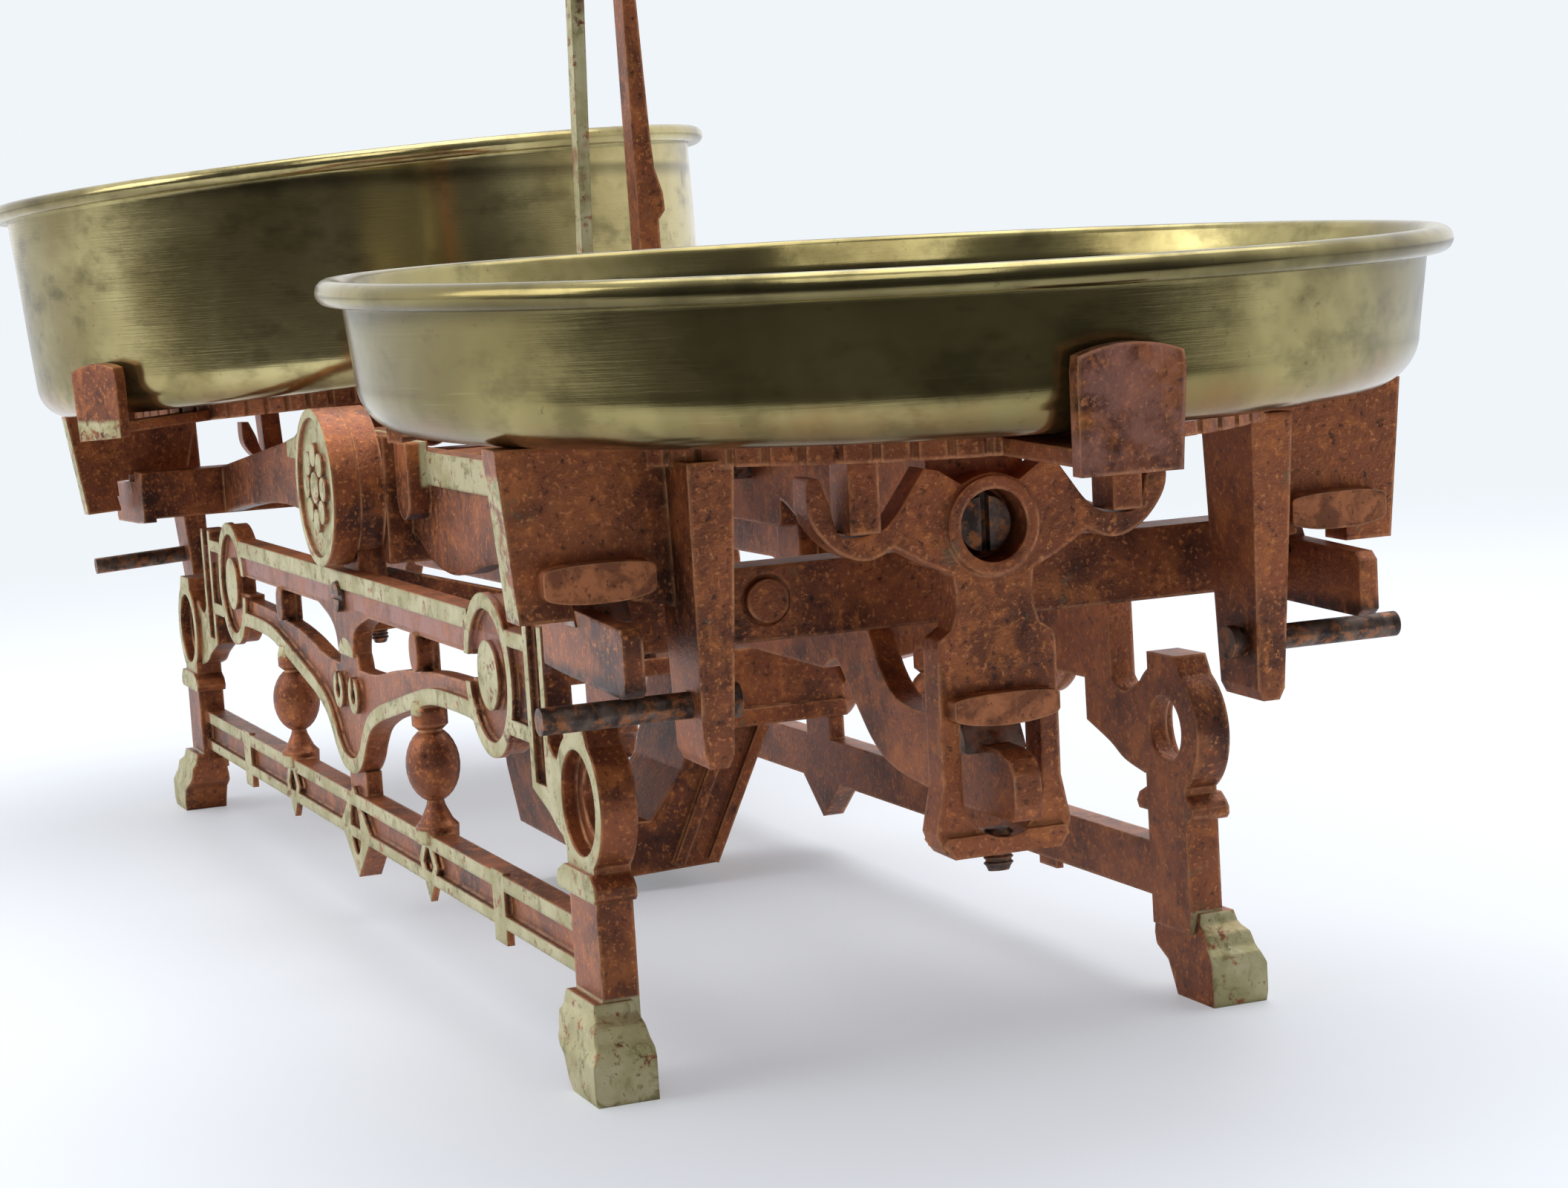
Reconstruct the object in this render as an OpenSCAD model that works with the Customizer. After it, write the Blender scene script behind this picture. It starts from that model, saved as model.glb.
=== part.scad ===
// Double-beam counter scale with two brass pans on a cast iron base.
// Millimetres. X runs along the beam, the near end is +X, the front is -Y, Z is up.
// The origin lies on the floor in the middle of the base.

/* [Base] */
// Length over the toes of the four feet
base_len = 380; // [372:1:392]
// Clear width between the two side frames
frame_gap = 109.6; // [108:0.2:112]
// Thickness of the plain web of a side frame
web_t = 3.7; // [3.2:0.1:4.4]
// How far the raised ribs stand out from the web
rib_h = 1.5; // [0.8:0.1:1.6]
// Thickness of the legs, rings and posts
leg_t = 6.8; // [6:0.1:7.6]
// Width of a leg along the base
leg_w = 15; // [12:0.5:17]
// Height of the underside of the bottom rail
low_rail_z = 18; // [16:0.5:20]
// Height of the bottom rail itself
low_rail_h = 10.5; // [9:0.5:12]
// Height of the top of the top rail
top_rail_z = 79.5; // [78.5:0.25:80]
// Height of the top rail itself
top_rail_h = 9; // [7.5:0.5:10]
// Width of the raised ribs
rib_w = 3; // [2.4:0.1:3.6]
// Height of the centre of the rings above the legs
ring_z = 51; // [50:0.5:52]
// Outer radius of the rings above the legs
ring_r = 12.5; // [12:0.25:13.5]
// Radius of the hole in those rings
ring_hole_r = 9.5; // [8:0.25:10]
// Distance from the leg rings to the round ears of the frame
ear_gap = 57.6; // [56:0.4:60]
// Height of the centre of the ears
ear_z = 67.6; // [67:0.2:68.4]
// Outer radius of the ears
ear_r = 16; // [15:0.25:17]
// Radius of the boss in an ear
ear_boss_r = 6.8; // [5.5:0.1:7.5]
// Distance of the turned drops from the middle
drop_x = 63; // [58:1:68]
// Radius of the ball in a turned drop
drop_r = 5.7; // [4.5:0.1:6.5]

/* [Bridge] */
// Width of the bridge along the beam
bridge_w = 36; // [34:1:38]
// Height of the top of the bridge
bridge_top = 54; // [52:0.5:56]
// Height of the bridge channel
bridge_h = 18; // [16:0.5:20]
// Wall of the bridge channel
bridge_wall = 4; // [3:0.5:5]
// Height of the lowest edge of the basket below the bridge
tie_low = 4; // [3.5:0.5:6]
// Width of that basket along the beam
tie_t = 34; // [30:1:35]
// Diameter of the screws that hold the bridge
bridge_bolt_d = 4; // [3:0.5:5]

/* [Beam] */
// Height of the centre knife edge above the floor
fulcrum_z = 92; // [91.5:0.25:92.5]
// Distance from the centre knife to each end knife
arm = 204; // [200:1:208]
// Distance from the middle to the outer face of a side plate of the beam
plate_y = 46; // [44:0.5:47]
// Thickness of the side plates of the beam
plate_t = 4.5; // [3.5:0.25:6]
// Radius of the round hub covers
hub_r = 17.8; // [17:0.2:18.5]
// Height of the centre of the hub above the centre knife
hub_up = 6.5; // [6.25:0.25:7.5]
// Thickness of a round hub cover
cover_t = 6; // [4:0.5:8]
// Length of the cross bar at each end of the beam
cross_len = 138.4; // [136.4:0.2:140]
// Thickness of the cross bar along the beam
cross_t = 10; // [8:0.5:12]
// Thickness of the fork ends that hold the end knives
fork_t = 3.5; // [3:0.25:4.5]
// How far a fork end reaches past the end knife
fork_reach = 25.6; // [23:0.2:28]
// Diameter of the adjusting plugs in the cross bars
plug_d = 7.5; // [5:0.5:9]

/* [Levers] */
// Height of the lower lever pivots above the floor
lever_z = 64.9; // [64.5:0.1:66]
// Distance of the lower lever pivots from the middle
lever_x = 12; // [11.5:0.5:14]
// Thickness of the lower levers
lever_t = 5; // [4.5:0.1:6]
// Height of the straight part of a lower lever
lever_h = 11; // [9:0.5:12]
// Height of the outer end of a lower lever
lever_end_h = 12; // [11:0.25:13.5]
// How far the outer end of a lower lever reaches past its knife
lever_reach = 14; // [12:0.5:18]

/* [Carriers] */
// Width over the wings of a carrier at the top
wing_len = 168; // [166:0.5:172]
// Thickness of the wing plate
wing_t = 7; // [6:0.5:8]
// Distance from the end knife to the outer face of the wing plate
wing_face = 11; // [10.5:0.25:12]
// Distance from the middle to the centre of a carrier bearing
bearing_y = 68.6; // [67.8:0.2:69.4]
// Width of a carrier bearing
bearing_w = 19; // [17:0.5:20]
// Height of a carrier bearing
bearing_h = 6.5; // [5.5:0.25:7]
// Length of a carrier bearing along the beam
bearing_len = 19; // [17:0.5:21]
// Distance from the middle to the centre of a carrier leg
leg_y = 51.4; // [50.6:0.2:52.2]
// Height of the plate that the pan rests on, above the end knife
seat_up = 25.8; // [24:0.2:26]
// Radius of the plate under the pan
seat_r = 68.5; // [65:0.5:72]
// Thickness of the plate under the pan
seat_t = 4.5; // [3.5:0.25:5]
// Distance from the end knife inwards to the centre of the pan
pan_in = 25; // [24:0.5:26]
// Width of the upright tabs that hold the pan
tab_w = 18; // [16:0.5:24]
// Thickness of those tabs
tab_t = 3.2; // [2.4:0.1:4]
// Height of those tabs above the plate
tab_up = 14.1; // [13:0.5:18]
// Distance from the middle to each peg under the plate
peg_y = 24.2; // [23.6:0.2:24.8]
// Diameter of the keeper pins below the fork ends
pin_d = 4.5; // [3.5:0.25:5]
// Depth of the keeper pins below the end knife
pin_down = 18; // [17.8:0.2:19]

/* [Anchor links] */
// Thickness of an anchor link
link_t = 6; // [5:0.25:7]
// Height of the ring of a link above the end knife
link_ring_up = 7.1; // [6.7:0.1:7.5]
// Radius of the hole in that ring
link_hole_r = 6.2; // [5.6:0.1:6.6]
// Half width of the body of a link
link_half_w = 11; // [10.5:0.25:12]
// Half width of the window in a link
window_half_w = 7.5; // [7.25:0.25:8]
// Depth of the lowest edge of a link below the end knife
link_low = 48.8; // [48:0.2:50]
// Diameter of the stop screw at the foot of a link
stop_d = 5.3; // [4.5:0.1:6]
// Length of a stop screw
stop_len = 8.5; // [7.5:0.5:10]

/* [Pans] */
// Outer diameter over the rolled rims
pan_d = 200; // [199:0.5:202]
// Height of the shallow pan to the middle of its rim
shallow_h = 24.8; // [22:0.2:32]
// Height of the deep pan to the middle of its rim
deep_h = 57.1; // [50:0.5:66]
// Radius of the rolled rim bead
rim_r = 2.26; // [2:0.02:2.6]
// Thickness of the brass sheet
sheet_t = 1.2; // [0.8:0.1:1.6]
// Radius of the rounded bottom edge
pan_corner_r = 9; // [7:0.5:11]

/* [Pointers] */
// Height of the pointer tips above the floor
pointer_top = 235; // [215:1:250]
// Depth of the moving pointer along the beam
moving_pointer_w = 6.4; // [4:0.2:7]
// Depth of the fixed pointer along the beam
fixed_pointer_w = 4; // [3:0.2:4.4]

/* [Resting position] */
// Angle of the beam at rest, near end down
beam_tilt = 0.4; // [0:0.1:0.5]
// Angle that the near carrier leans outwards
near_lean = 1.7; // [0:0.1:1.7]
// Angle that the far carrier leans outwards
far_lean = 1.5; // [0:0.1:1.5]
// Angle that the far carrier leans to the front, where its front bearing is lost
far_roll = 3.1; // [0:0.1:3.1]

/* [Hidden] */
$fn = 48;

// Paint and metal colours
copper_brown = [0.55, 0.27, 0.16];
dark_iron = [0.25, 0.2, 0.18];
pale_gold = [0.72, 0.7, 0.5];
steel = [0.6, 0.58, 0.56];
brass = [0.66, 0.6, 0.36];

// Running gap between a knife edge and its seat
seat_gap = 0.3;
// Gap between a pan wall and the tabs round it
tab_gap = 0.4;
// Overreach of a cut past the face that it opens
cut = 1;

frame_in = frame_gap / 2;
rib_face = web_t + rib_h;
toe_reach = 14;
ring_x = base_len / 2 - toe_reach;
ear_x = ring_x - ear_gap;
post_x0 = ring_x - 32.5;
post_x1 = ring_x - 21;
post_top = 80;
low_rail_top = low_rail_z + low_rail_h;
top_rail_low = top_rail_z - top_rail_h;

// Point at t on the smooth curve that runs through b and c
function curve_point(a, b, c, d, t) =
    0.5 * (2 * b + (c - a) * t + (2 * a - 5 * b + 4 * c - d) * t * t + (3 * b - a - 3 * c + d) * t * t * t);
// Smooth path through the points p, with n steps between each two
function smooth(p, n) = [
    for (i = [0 : len(p) - 2], k = [0 : n - 1])
        curve_point(p[max(i - 1, 0)], p[i], p[i + 1], p[min(i + 2, len(p) - 1)], k / n),
    p[len(p) - 1]];
// Normal of the path p at its point i
function normal_at(p, i) =
    let (d = p[min(i + 1, len(p) - 1)] - p[max(i - 1, 0)])
    [-d.y, d.x] / norm(d);
// Points of the path p moved sideways by w
function beside(p, w) = [for (i = [0 : len(p) - 1]) p[i] + normal_at(p, i) * w];
// Points of the path p in reverse order
function turned(p) = [for (i = [len(p) - 1 : -1 : 0]) p[i]];
// Points on an arc round c, from angle a to angle b
function arc(c, r, a, b, n) = [
    for (k = [0 : n]) c + r * [cos(a + (b - a) * k / n), sin(a + (b - a) * k / n)]];

// Band of width w along the path p
module band(p, w) {
    polygon(concat(beside(p, w / 2), turned(beside(p, -w / 2))));
}

// The children and their mirror image to the other side of X = 0
module both_ends() {
    children();
    mirror([1, 0]) children();
}

// Upright slab from a flat shape in X and Z, between two distances from the middle, at the front
module slab(from, to) {
    rotate([90, 0, 0]) translate([0, 0, from]) linear_extrude(to - from) children();
}

// Slab across the beam from a flat shape in X and Z, the same to both sides of Y = 0
module cross_slab(width) {
    slab(-width / 2, width / 2) children();
}

// Slab along the beam from a flat shape in Y and Z, between two places on X
module long_slab(from, to) {
    rotate([90, 0, 90]) translate([0, 0, from]) linear_extrude(to - from) children();
}

// Centre line of the rib of one arch of a side frame
arch_path = smooth([
    [0, 34.8], [6, 35.7], [11, 38.6], [14.6, 42.4], [20, 46.6], [29, 49.8], [40, 52.2], [drop_x, 56.8],
    [78, 59], [ear_x - 16, 59.4], [ear_x - 10, 58.4]], 5);
arch_rib_w = rib_w + 0.4;
// Upper edge of the web above that rib
arch_top = smooth([
    [0, 57.6], [13, 57.4], [25, 58], [40, 60.4], [52, 61.8], [drop_x, 62.6], [78, 63.6],
    [ear_x - 10, 64.2]], 5);
stem_half = 7.5;
curl_x = 7;
curl_z = 51.6;
curl_r = 4.2;
disc_z = 55;
disc_r = 9;
pendant_w = 14;
small_pendant_w = 7;
cross_band_x = ring_x - 61;
cross_band_w = 8;

// Pointed drop shape on the bottom rail
module pendant(x, w, top, widest, low) {
    translate([x, 0]) polygon([[0, top], [w, widest], [0, low], [-w, widest]]);
}

// Plate that joins the post to the ring above the leg
module shoulder() {
    inner = arc([post_x1 + 4.5, 62], 5.5, 200, 300, 6);
    lower = smooth([[ring_x - 9, 41.5], [ring_x - 17, 43.2], [ring_x - 23, 46], [post_x0, 49.2]], 4);
    polygon(concat(inner, [[ring_x - 8, 60]], lower, [[post_x0, 60]]));
}

// Plain web of one half of a side frame
module half_web() {
    translate([0, low_rail_z]) square([ring_x, low_rail_h]);
    translate([0, top_rail_low]) square([ear_x - 9, top_rail_h]);
    polygon(concat(beside(arch_path, -arch_rib_w / 2), turned(arch_top)));
    difference() {
        translate([ear_x, ear_z]) circle(ear_r - 0.5);
        translate([ear_x - ear_r - cut, arch_slot_z])
            square([ear_r - ear_boss_r + 2, top_rail_low - arch_slot_z]);
    }
    translate([ear_x, ear_z - 10]) square([post_x0 - ear_x + 1, 20]);
    translate([post_x0, 49.2]) square([post_x1 - post_x0, post_top - 49.2]);
    shoulder();
}
arch_slot_z = 65.5;

// Web at the middle of a side frame
module centre_web() {
    translate([-stem_half, low_rail_top - 1]) square([2 * stem_half, 35 - low_rail_top]);
    translate([0, disc_z]) circle(disc_r);
    pendant(0, pendant_w, low_rail_top + 1, 20, 9);
}

// Raised ribs of one half of a side frame
module half_ribs() {
    translate([0, low_rail_z]) square([ring_x, 2.5]);
    translate([0, low_rail_top - rib_w]) square([ring_x, rib_w]);
    translate([0, top_rail_z - 4]) square([ear_x - 12, 4]);
    band(arch_path, arch_rib_w);
    difference() {
        translate([ear_x, ear_z]) circle(ear_r);
        translate([ear_x, ear_z]) circle(ear_r - rib_w);
        translate([ear_x - ear_r - cut, arch_slot_z - 0.5]) square([ear_r, top_rail_low - arch_slot_z + 0.5]);
    }
    translate([ear_x, ear_z]) circle(ear_boss_r);
    for (z = [ear_z - 10, ear_z + 10 - rib_w]) {
        translate([ear_x + ear_r - rib_w, z]) square([post_x0 - ear_x - ear_r + rib_w + 1, rib_w]);
    }
    translate([post_x0, 49.2]) square([2.5, post_top - 49.2]);
    translate([post_x1 - 2.5, 55]) square([2.5, post_top - 55]);
    difference() {
        shoulder();
        translate([post_x0 + 2.5, 50.5]) square([post_x1 - post_x0 - 5, 30]);
    }
    difference() {
        pendant(drop_x, small_pendant_w, low_rail_top + 2, 22, 14);
        pendant(drop_x, small_pendant_w - rib_w, low_rail_top - 1.5, 22, 18);
    }
    translate([cross_band_x - cross_band_w / 2, low_rail_z - 3.3]) square([cross_band_w, low_rail_h + 3.8]);
}

// Raised ribs at the middle of a side frame
module centre_ribs() {
    for (x = [-curl_x, curl_x]) {
        difference() {
            translate([x, curl_z]) circle(curl_r);
            translate([x, curl_z]) circle(curl_r - 2.2);
            translate([x - 1.2, curl_z + 1]) square([2.4, curl_r]);
        }
    }
    difference() {
        pendant(0, pendant_w, low_rail_top + 1.5, 20, 9);
        translate([0, 20.4]) scale([0.72, 1]) circle(6.2);
    }
}

// Leg with its collar, ring and pointed top, seen from the side
module leg_side() {
    translate([ring_x, 0]) {
        translate([-leg_w / 2 - 1, foot_top - 4]) square([leg_w, ring_z - 5 - foot_top]);
        translate([0, ring_z]) circle(ring_r);
        polygon([[-6, ring_z + 6], [-6, 65.3], [4.7, 65.3], [8, ring_z + 8], [6, ring_z]]);
    }
}

// Foot with its heel cut under and its toe bulging, seen from the side
module foot_side() {
    translate([ring_x, 0]) polygon([
        [-8.5, foot_top], [-9, 15], [-8.6, 10.6], [-7.4, 8.4], [-3.2, 6.2], [-1.2, 2.5], [0, 0],
        [toe_reach, 0], [toe_reach, 7.6], [toe_reach - 0.8, 9.4], [toe_reach - 2.2, 10.6],
        [toe_reach - 3.4, 13], [8, 14.6], [7.4, foot_top]]);
}

// Foot seen from the end, as distance from the inner face of the frame
module foot_end() {
    polygon([[1.6, foot_top], [0.6, 12.6], [0, 9], [0, 0], [11.2, 0], [11.6, 2], [11.6, 7.2], [10.6, 9.8],
        [10.2, 12.8], [9.2, 14], [8.7, foot_top]]);
}
foot_top = 16.5;
collar_z = 34.4;
collar_h = 4.8;
ring_step = 3;
ring_eye_r = 6.2;

module one_leg() {
    slab(frame_in, frame_in + leg_t) {
        difference() {
            leg_side();
            translate([ring_x, ring_z]) circle(ring_eye_r);
        }
    }
    slab(frame_in, frame_in + leg_t + 1) {
        translate([ring_x, collar_z]) polygon([
            [-12, 0], [leg_w / 2 + 0.8, 0], [leg_w / 2 + 1.7, 0.9], [leg_w / 2 + 1.7, 2.3],
            [leg_w / 2 + 0.8, 3.4], [leg_w / 2 - 1, collar_h], [-8, collar_h], [-11.6, 3.2], [-12.8, 1.4]]);
    }
    intersection() {
        slab(frame_in, frame_in + 2 * leg_t) foot_side();
        translate([0, -frame_in, 0]) mirror([0, 1, 0]) long_slab(0, base_len) foot_end();
    }
}

// Turned drop between the bottom rail and an arch, with an egg between two thin necks
module turned_drop() {
    egg = [for (a = [-72 : 12 : 72]) [drop_r * cos(a), 43 + 1.4 * drop_r * sin(a)]];
    translate([drop_x, -frame_in - 2.6, 0]) rotate_extrude() polygon(concat(
        [[0, low_rail_top - 2], [4.4, low_rail_top - 2], [4.6, low_rail_top + 1.6], [3.4, 31.4],
            [2, 34.4], [1.6, 36.4]],
        egg, [[1.6, 49.2], [2.2, 50], [3.8, 51.4], [3.8, 54.4], [3.2, 56.4], [0, 56.4]]));
}

// Small oval plate on a flat bar between an arch and the top rail
module oval_bead() {
    slab(frame_in, frame_in + 1.6) translate([drop_x - 2.4, 60]) square([4.8, top_rail_low - 59]);
    slab(frame_in + 1.5, frame_in + rib_face) translate([drop_x, 66.8]) scale([0.8, 1.1]) circle(3.8);
}

// Flared neck from the top rail down to the disc
module neck_side() {
    edge = smooth([[28, top_rail_low + 1], [19, 69.4], [12, 67.4], [8, 64.4], [6.6, 60]], 4);
    polygon(concat(edge, [for (i = [len(edge) - 1 : -1 : 0]) [-edge[i].x, edge[i].y]]));
}

// Bearing post of a side frame, which stands inside the hub of the beam
post_half = 7;
hub_post_y0 = 4.8;
module hub_post() {
    slab(frame_in - hub_post_y0, frame_in + 1.7) {
        translate([-post_half, top_rail_low]) square([2 * post_half, fulcrum_seat_z - top_rail_low]);
    }
}
fulcrum_seat_z = fulcrum_z - 4;

module side_frame(bolt_z) {
    difference() {
        union() {
            slab(frame_in, frame_in + web_t) {
                both_ends() half_web();
                centre_web();
            }
            slab(frame_in + web_t - 0.01, frame_in + rib_face) {
                both_ends() half_ribs();
                centre_ribs();
            }
            slab(frame_in, frame_in + rib_face - 0.8) {
                translate([-ear_x + 12, top_rail_low]) square([2 * ear_x - 24, top_rail_h]);
                neck_side();
            }
            slab(frame_in, frame_in + rib_face - 1.5) translate([0, disc_z]) circle(disc_r);
            for (s = [0, 1]) mirror([s, 0, 0]) {
                one_leg();
                turned_drop();
                oval_bead();
            }
            hub_post();
        }
        translate([0, -frame_in, bolt_z]) rotate([90, 0, 0]) {
            cylinder(h = 3 * leg_t, d = bridge_bolt_d + 2 * bolt_gap, center = true);
            translate([0, 0, bolt_seat]) cylinder(h = cut, d = bolt_head_d + 2 * bolt_gap);
        }
        for (s = [0, 1]) mirror([s, 0, 0]) slab(frame_in + leg_t - ring_step, frame_in + leg_t + 1)
            translate([ring_x, ring_z]) circle(ring_hole_r);
    }
}

module front_side_frame() {
    color(copper_brown) side_frame(arm_bolt_z);
}

module rear_side_frame() {
    color(copper_brown) mirror([0, 1, 0]) side_frame(bar_bolt_z);
}

bridge_low = bridge_top - bridge_h;
bridge_roof = bridge_top - bridge_wall;
bolt_depth = 9;
bolt_head_d = 7;
bolt_gap = 0.15;
// Distance from the inner face of a side frame to the seat of the bolt head
bolt_seat = rib_face - 0.8;
// Heights of the screws that hold the raised front arm and the low rear end of the bridge
arm_bolt_z = top_rail_low + 3;
bar_bolt_z = bridge_low + 5;
// The bridge ends at bridge_y0 towards the front, where its arm rises to the top rail
bridge_y0 = -19;
arm_half = 7;
arm_y0 = hub_post_y0 - frame_in;
arm_y1 = -11;

// Basket below the bridge, seen from the end
module tie_end() {
    polygon([
        [bridge_y0, bridge_low + 1], [bridge_y0 + 0.6, 28], [bridge_y0 + 3, 14.2], [-1, tie_low],
        [21, tie_low + 0.8], [tie_out, bridge_low + 1]]);
}

// Opening of that basket
module tie_opening() {
    polygon([
        [bridge_y0 + 6, bridge_roof], [bridge_y0 + 7, 22], [bridge_y0 + 11, tie_low + 13],
        [5, tie_low + 12.4], [13.5, 27.4], [tie_out - 15.6, bridge_roof]]);
}
tie_out = 35.6;

// Arm from the front end of the bridge up to the top rail of the front frame
module arm_end() {
    polygon([
        [bridge_y0, bridge_low + 2], [arm_y1, bridge_low + 2], [arm_y1, top_rail_low - 2],
        [arm_y0 + 4, top_rail_z - 1], [arm_y0, top_rail_z - 1], [arm_y0, top_rail_low],
        [arm_y0 + 4, top_rail_low], [bridge_y0, top_rail_low - 10]]);
}

module centre_bridge() {
    half = bridge_w / 2;
    lip_w = 1.2;
    lip_h = 4;
    bar_len = frame_in - bridge_y0;
    color(copper_brown) difference() {
        union() {
            translate([-half, bridge_y0, bridge_low]) cube([bridge_w, bar_len, bridge_h]);
            for (s = [0, 1]) mirror([s, 0, 0])
                translate([half - 0.01, bridge_y0, bridge_low]) cube([lip_w, bar_len, lip_h]);
            long_slab(-tie_t / 2, tie_t / 2) tie_end();
            long_slab(-arm_half, arm_half) arm_end();
            long_slab(-tie_t / 2 - rib_h, tie_t / 2 + rib_h)
                band([[25, bridge_low], [11, tie_low + 1.4]], 2.6);
            long_slab(-tie_t / 2 - rib_h, tie_t / 2 + rib_h)
                band([[tie_out - 1.6, bridge_low], [19.4, tie_low + 1.4]], 2.6);
        }
        long_slab(-tie_t, tie_t) tie_opening();
        translate([bridge_wall - half, tie_out + 1, bridge_low - cut])
            cube([bridge_w - 2 * bridge_wall, frame_in - 2 * bolt_depth - tie_out - 1, bridge_h]);
        translate([0, -frame_in, arm_bolt_z]) rotate([90, 0, 0])
            cylinder(h = 2 * bolt_depth, d = bridge_bolt_d, center = true);
        translate([0, frame_in, bar_bolt_z]) rotate([90, 0, 0])
            cylinder(h = 2 * bolt_depth, d = bridge_bolt_d, center = true);
        translate([0, fixed_pointer_y, bridge_top - 6]) cylinder(h = 7, d = small_screw_d);
    }
}

// Slotted screw of the bridge in the front frame, with its axis at the origin
module bridge_bolt() {
    head_h = 1.6;
    rotate([90, 0, 0]) {
        translate([0, 0, -bolt_depth + 0.5]) cylinder(h = bolt_depth - 0.5 + bolt_seat, d = bridge_bolt_d);
        difference() {
            translate([0, 0, bolt_seat]) cylinder(h = head_h, d = bolt_head_d);
            translate([-4, -0.5, bolt_seat + head_h - 0.8]) cube([8, 1, cut]);
        }
    }
}

module bridge_bolts() {
    color(dark_iron) {
        translate([0, -frame_in, arm_bolt_z]) bridge_bolt();
        mirror([0, 1, 0]) translate([0, -frame_in, bar_bolt_z]) bridge_bolt();
    }
}

// Block with a notch on top, in which a knife edge rests at the origin
module notched_block(half_w, down, up, depth) {
    cross_slab(depth) polygon([
        [-half_w, -down], [half_w, -down], [half_w, up], [half_w - 0.8, up], [0, -seat_gap],
        [-half_w + 0.8, up], [-half_w, up]]);
}

hub_bearing_y = frame_in - 1.55;
module fulcrum_bearings() {
    color(steel) for (s = [-1, 1])
        translate([0, s * hub_bearing_y, fulcrum_z]) notched_block(6, fulcrum_z - fulcrum_seat_z, 1.8, 5.5);
}

lever_bearing_y = 6.6;
module lever_bearings() {
    color(steel) for (x = [-lever_x, lever_x], s = [-1, 1])
        translate([x, s * lever_bearing_y, lever_z]) notched_block(4, lever_z - bridge_top, 1, 5.6);
}

// Slotted screw head and shank, with the seat of the head at the origin and the shank going down
module slotted_screw(head_d, head_h, shank_d, shank_len) {
    difference() {
        union() {
            cylinder(h = head_h, d1 = head_d, d2 = head_d - head_h * 0.6);
            translate([0, 0, -shank_len]) cylinder(h = shank_len + 0.01, d = shank_d);
        }
        translate([-head_d, -head_d * 0.07, head_h * 0.45]) cube([2 * head_d, head_d * 0.14, head_h]);
    }
}

small_screw_d = 3;
foot_t = 3;
fixed_pointer_y = 9.5;
module fixed_pointer() {
    w = fixed_pointer_w;
    color(pale_gold) difference() {
        union() {
            translate([-w / 2, 0, bridge_top]) cube([w, 14, foot_t]);
            long_slab(-w / 2, w / 2) polygon([
                [0.6, bridge_top], [3.6, bridge_top], [4.6, fulcrum_z + 18],
                [5.5, fulcrum_z + 58], [7.3, pointer_top - 30],
                [7.6, pointer_top - 14], [8.8, pointer_top - 4], [8.2, pointer_top], [6.8, pointer_top - 6],
                [4.4, pointer_top - 14], [4.1, pointer_top - 30],
                [2.8, fulcrum_z + 58], [1.8, fulcrum_z + 18]]);
            translate([0, fixed_pointer_y, bridge_top]) cylinder(h = foot_t, r = 3.6);
        }
        translate([0, fixed_pointer_y, bridge_top - cut]) cylinder(h = foot_t + 2 * cut, d = small_screw_d);
    }
}

module fixed_pointer_screw() {
    color(dark_iron) translate([0, fixed_pointer_y, bridge_top + foot_t])
        slotted_screw(5.4, 2, small_screw_d, foot_t + 5);
}

// Places the beam, which turns about the centre knife edge
module on_beam() {
    translate([0, 0, fulcrum_z]) rotate([0, beam_tilt, 0]) children();
}

cross_x1 = arm - 7;
cross_x0 = cross_x1 - cross_t;
cross_low = -12;
cross_high = 1;
tie_half = 9;
tie_z0 = 5;
tie_z1 = 12;
knife_half = 4;
hub_cavity = 11;
knife_in = plate_y - plate_t - 5;
cover_face = frame_in + 2.7;
hub_block = 18;

// Centre knife in section, with its edge at the origin
module fulcrum_section() {
    polygon([[0, 0], [knife_half, 5], [knife_half, 12], [-knife_half, 12], [-knife_half, 5]]);
}

// End knife in section, with its edge at the origin
module end_knife_section() {
    polygon([[0, 0], [2.6, -5], [-2.6, -5]]);
}

// Side plate of the beam, seen from the side, level
module plate_side() {
    top = [[0, 14.8], [80, 14.8], [104, 11.4], [cross_x0 + 2, cross_high]];
    low = smooth([
        [cross_x0 + 2, cross_low], [150, -7.6], [110, -5], [79, -6.5], [60, -10], [46, -11], [32, -9],
        [18, -4], [0, -4]], 4);
    polygon(concat(top, low));
}

// Fork end that holds an end knife, seen from the side
module fork_side() {
    polygon([[cross_x0, -13], [cross_x0, -1.4], [arm + fork_reach - 1.5, -3.4], [arm + fork_reach, -4.8],
        [arm + fork_reach, -13.4], [arm + fork_reach - 1.5, -14.6], [cross_x1, -13.6]]);
}

fork_out = cross_len / 2;
module beam_end() {
    slab(plate_y - plate_t, plate_y) plate_side();
    mirror([0, 1, 0]) slab(plate_y - plate_t, plate_y) plate_side();
    translate([cross_x0, -fork_out, cross_low]) cube([cross_t, cross_len, cross_high - cross_low]);
    difference() {
        for (s = [0, 1]) mirror([0, s, 0]) slab(fork_out - fork_t, fork_out) fork_side();
        translate([arm, 0, 0]) cross_slab(cross_len + 2) end_knife_section();
    }
}

// Half of the hub, at the front, with room for the bearing post
module hub_half() {
    difference() {
        union() {
            slab(plate_y - plate_t, frame_in - 3) {
                translate([-hub_block, -10.5]) square([2 * hub_block, 28.5]);
            }
            slab(frame_in - 3.1, cover_face) translate([0, hub_up]) circle(hub_r);
            slab(plate_y - 0.01, plate_y + 0.8) both_ends()
                polygon([[hub_block - 1, 7.7], [hub_block - 1, 14.8], [80, 14.8], [100, 11.8], [100, 7.7]]);
            slab(plate_y - 0.01, plate_y + 5) translate([30, 0])
                polygon(concat(arc([0, 5], 5, 180, 360, 12), [[5, 17], [-5, 17]]));
        }
        slab(frame_in - 6, cover_face + cut) translate([-hub_cavity, -20]) square([2 * hub_cavity, 27]);
    }
}

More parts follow.
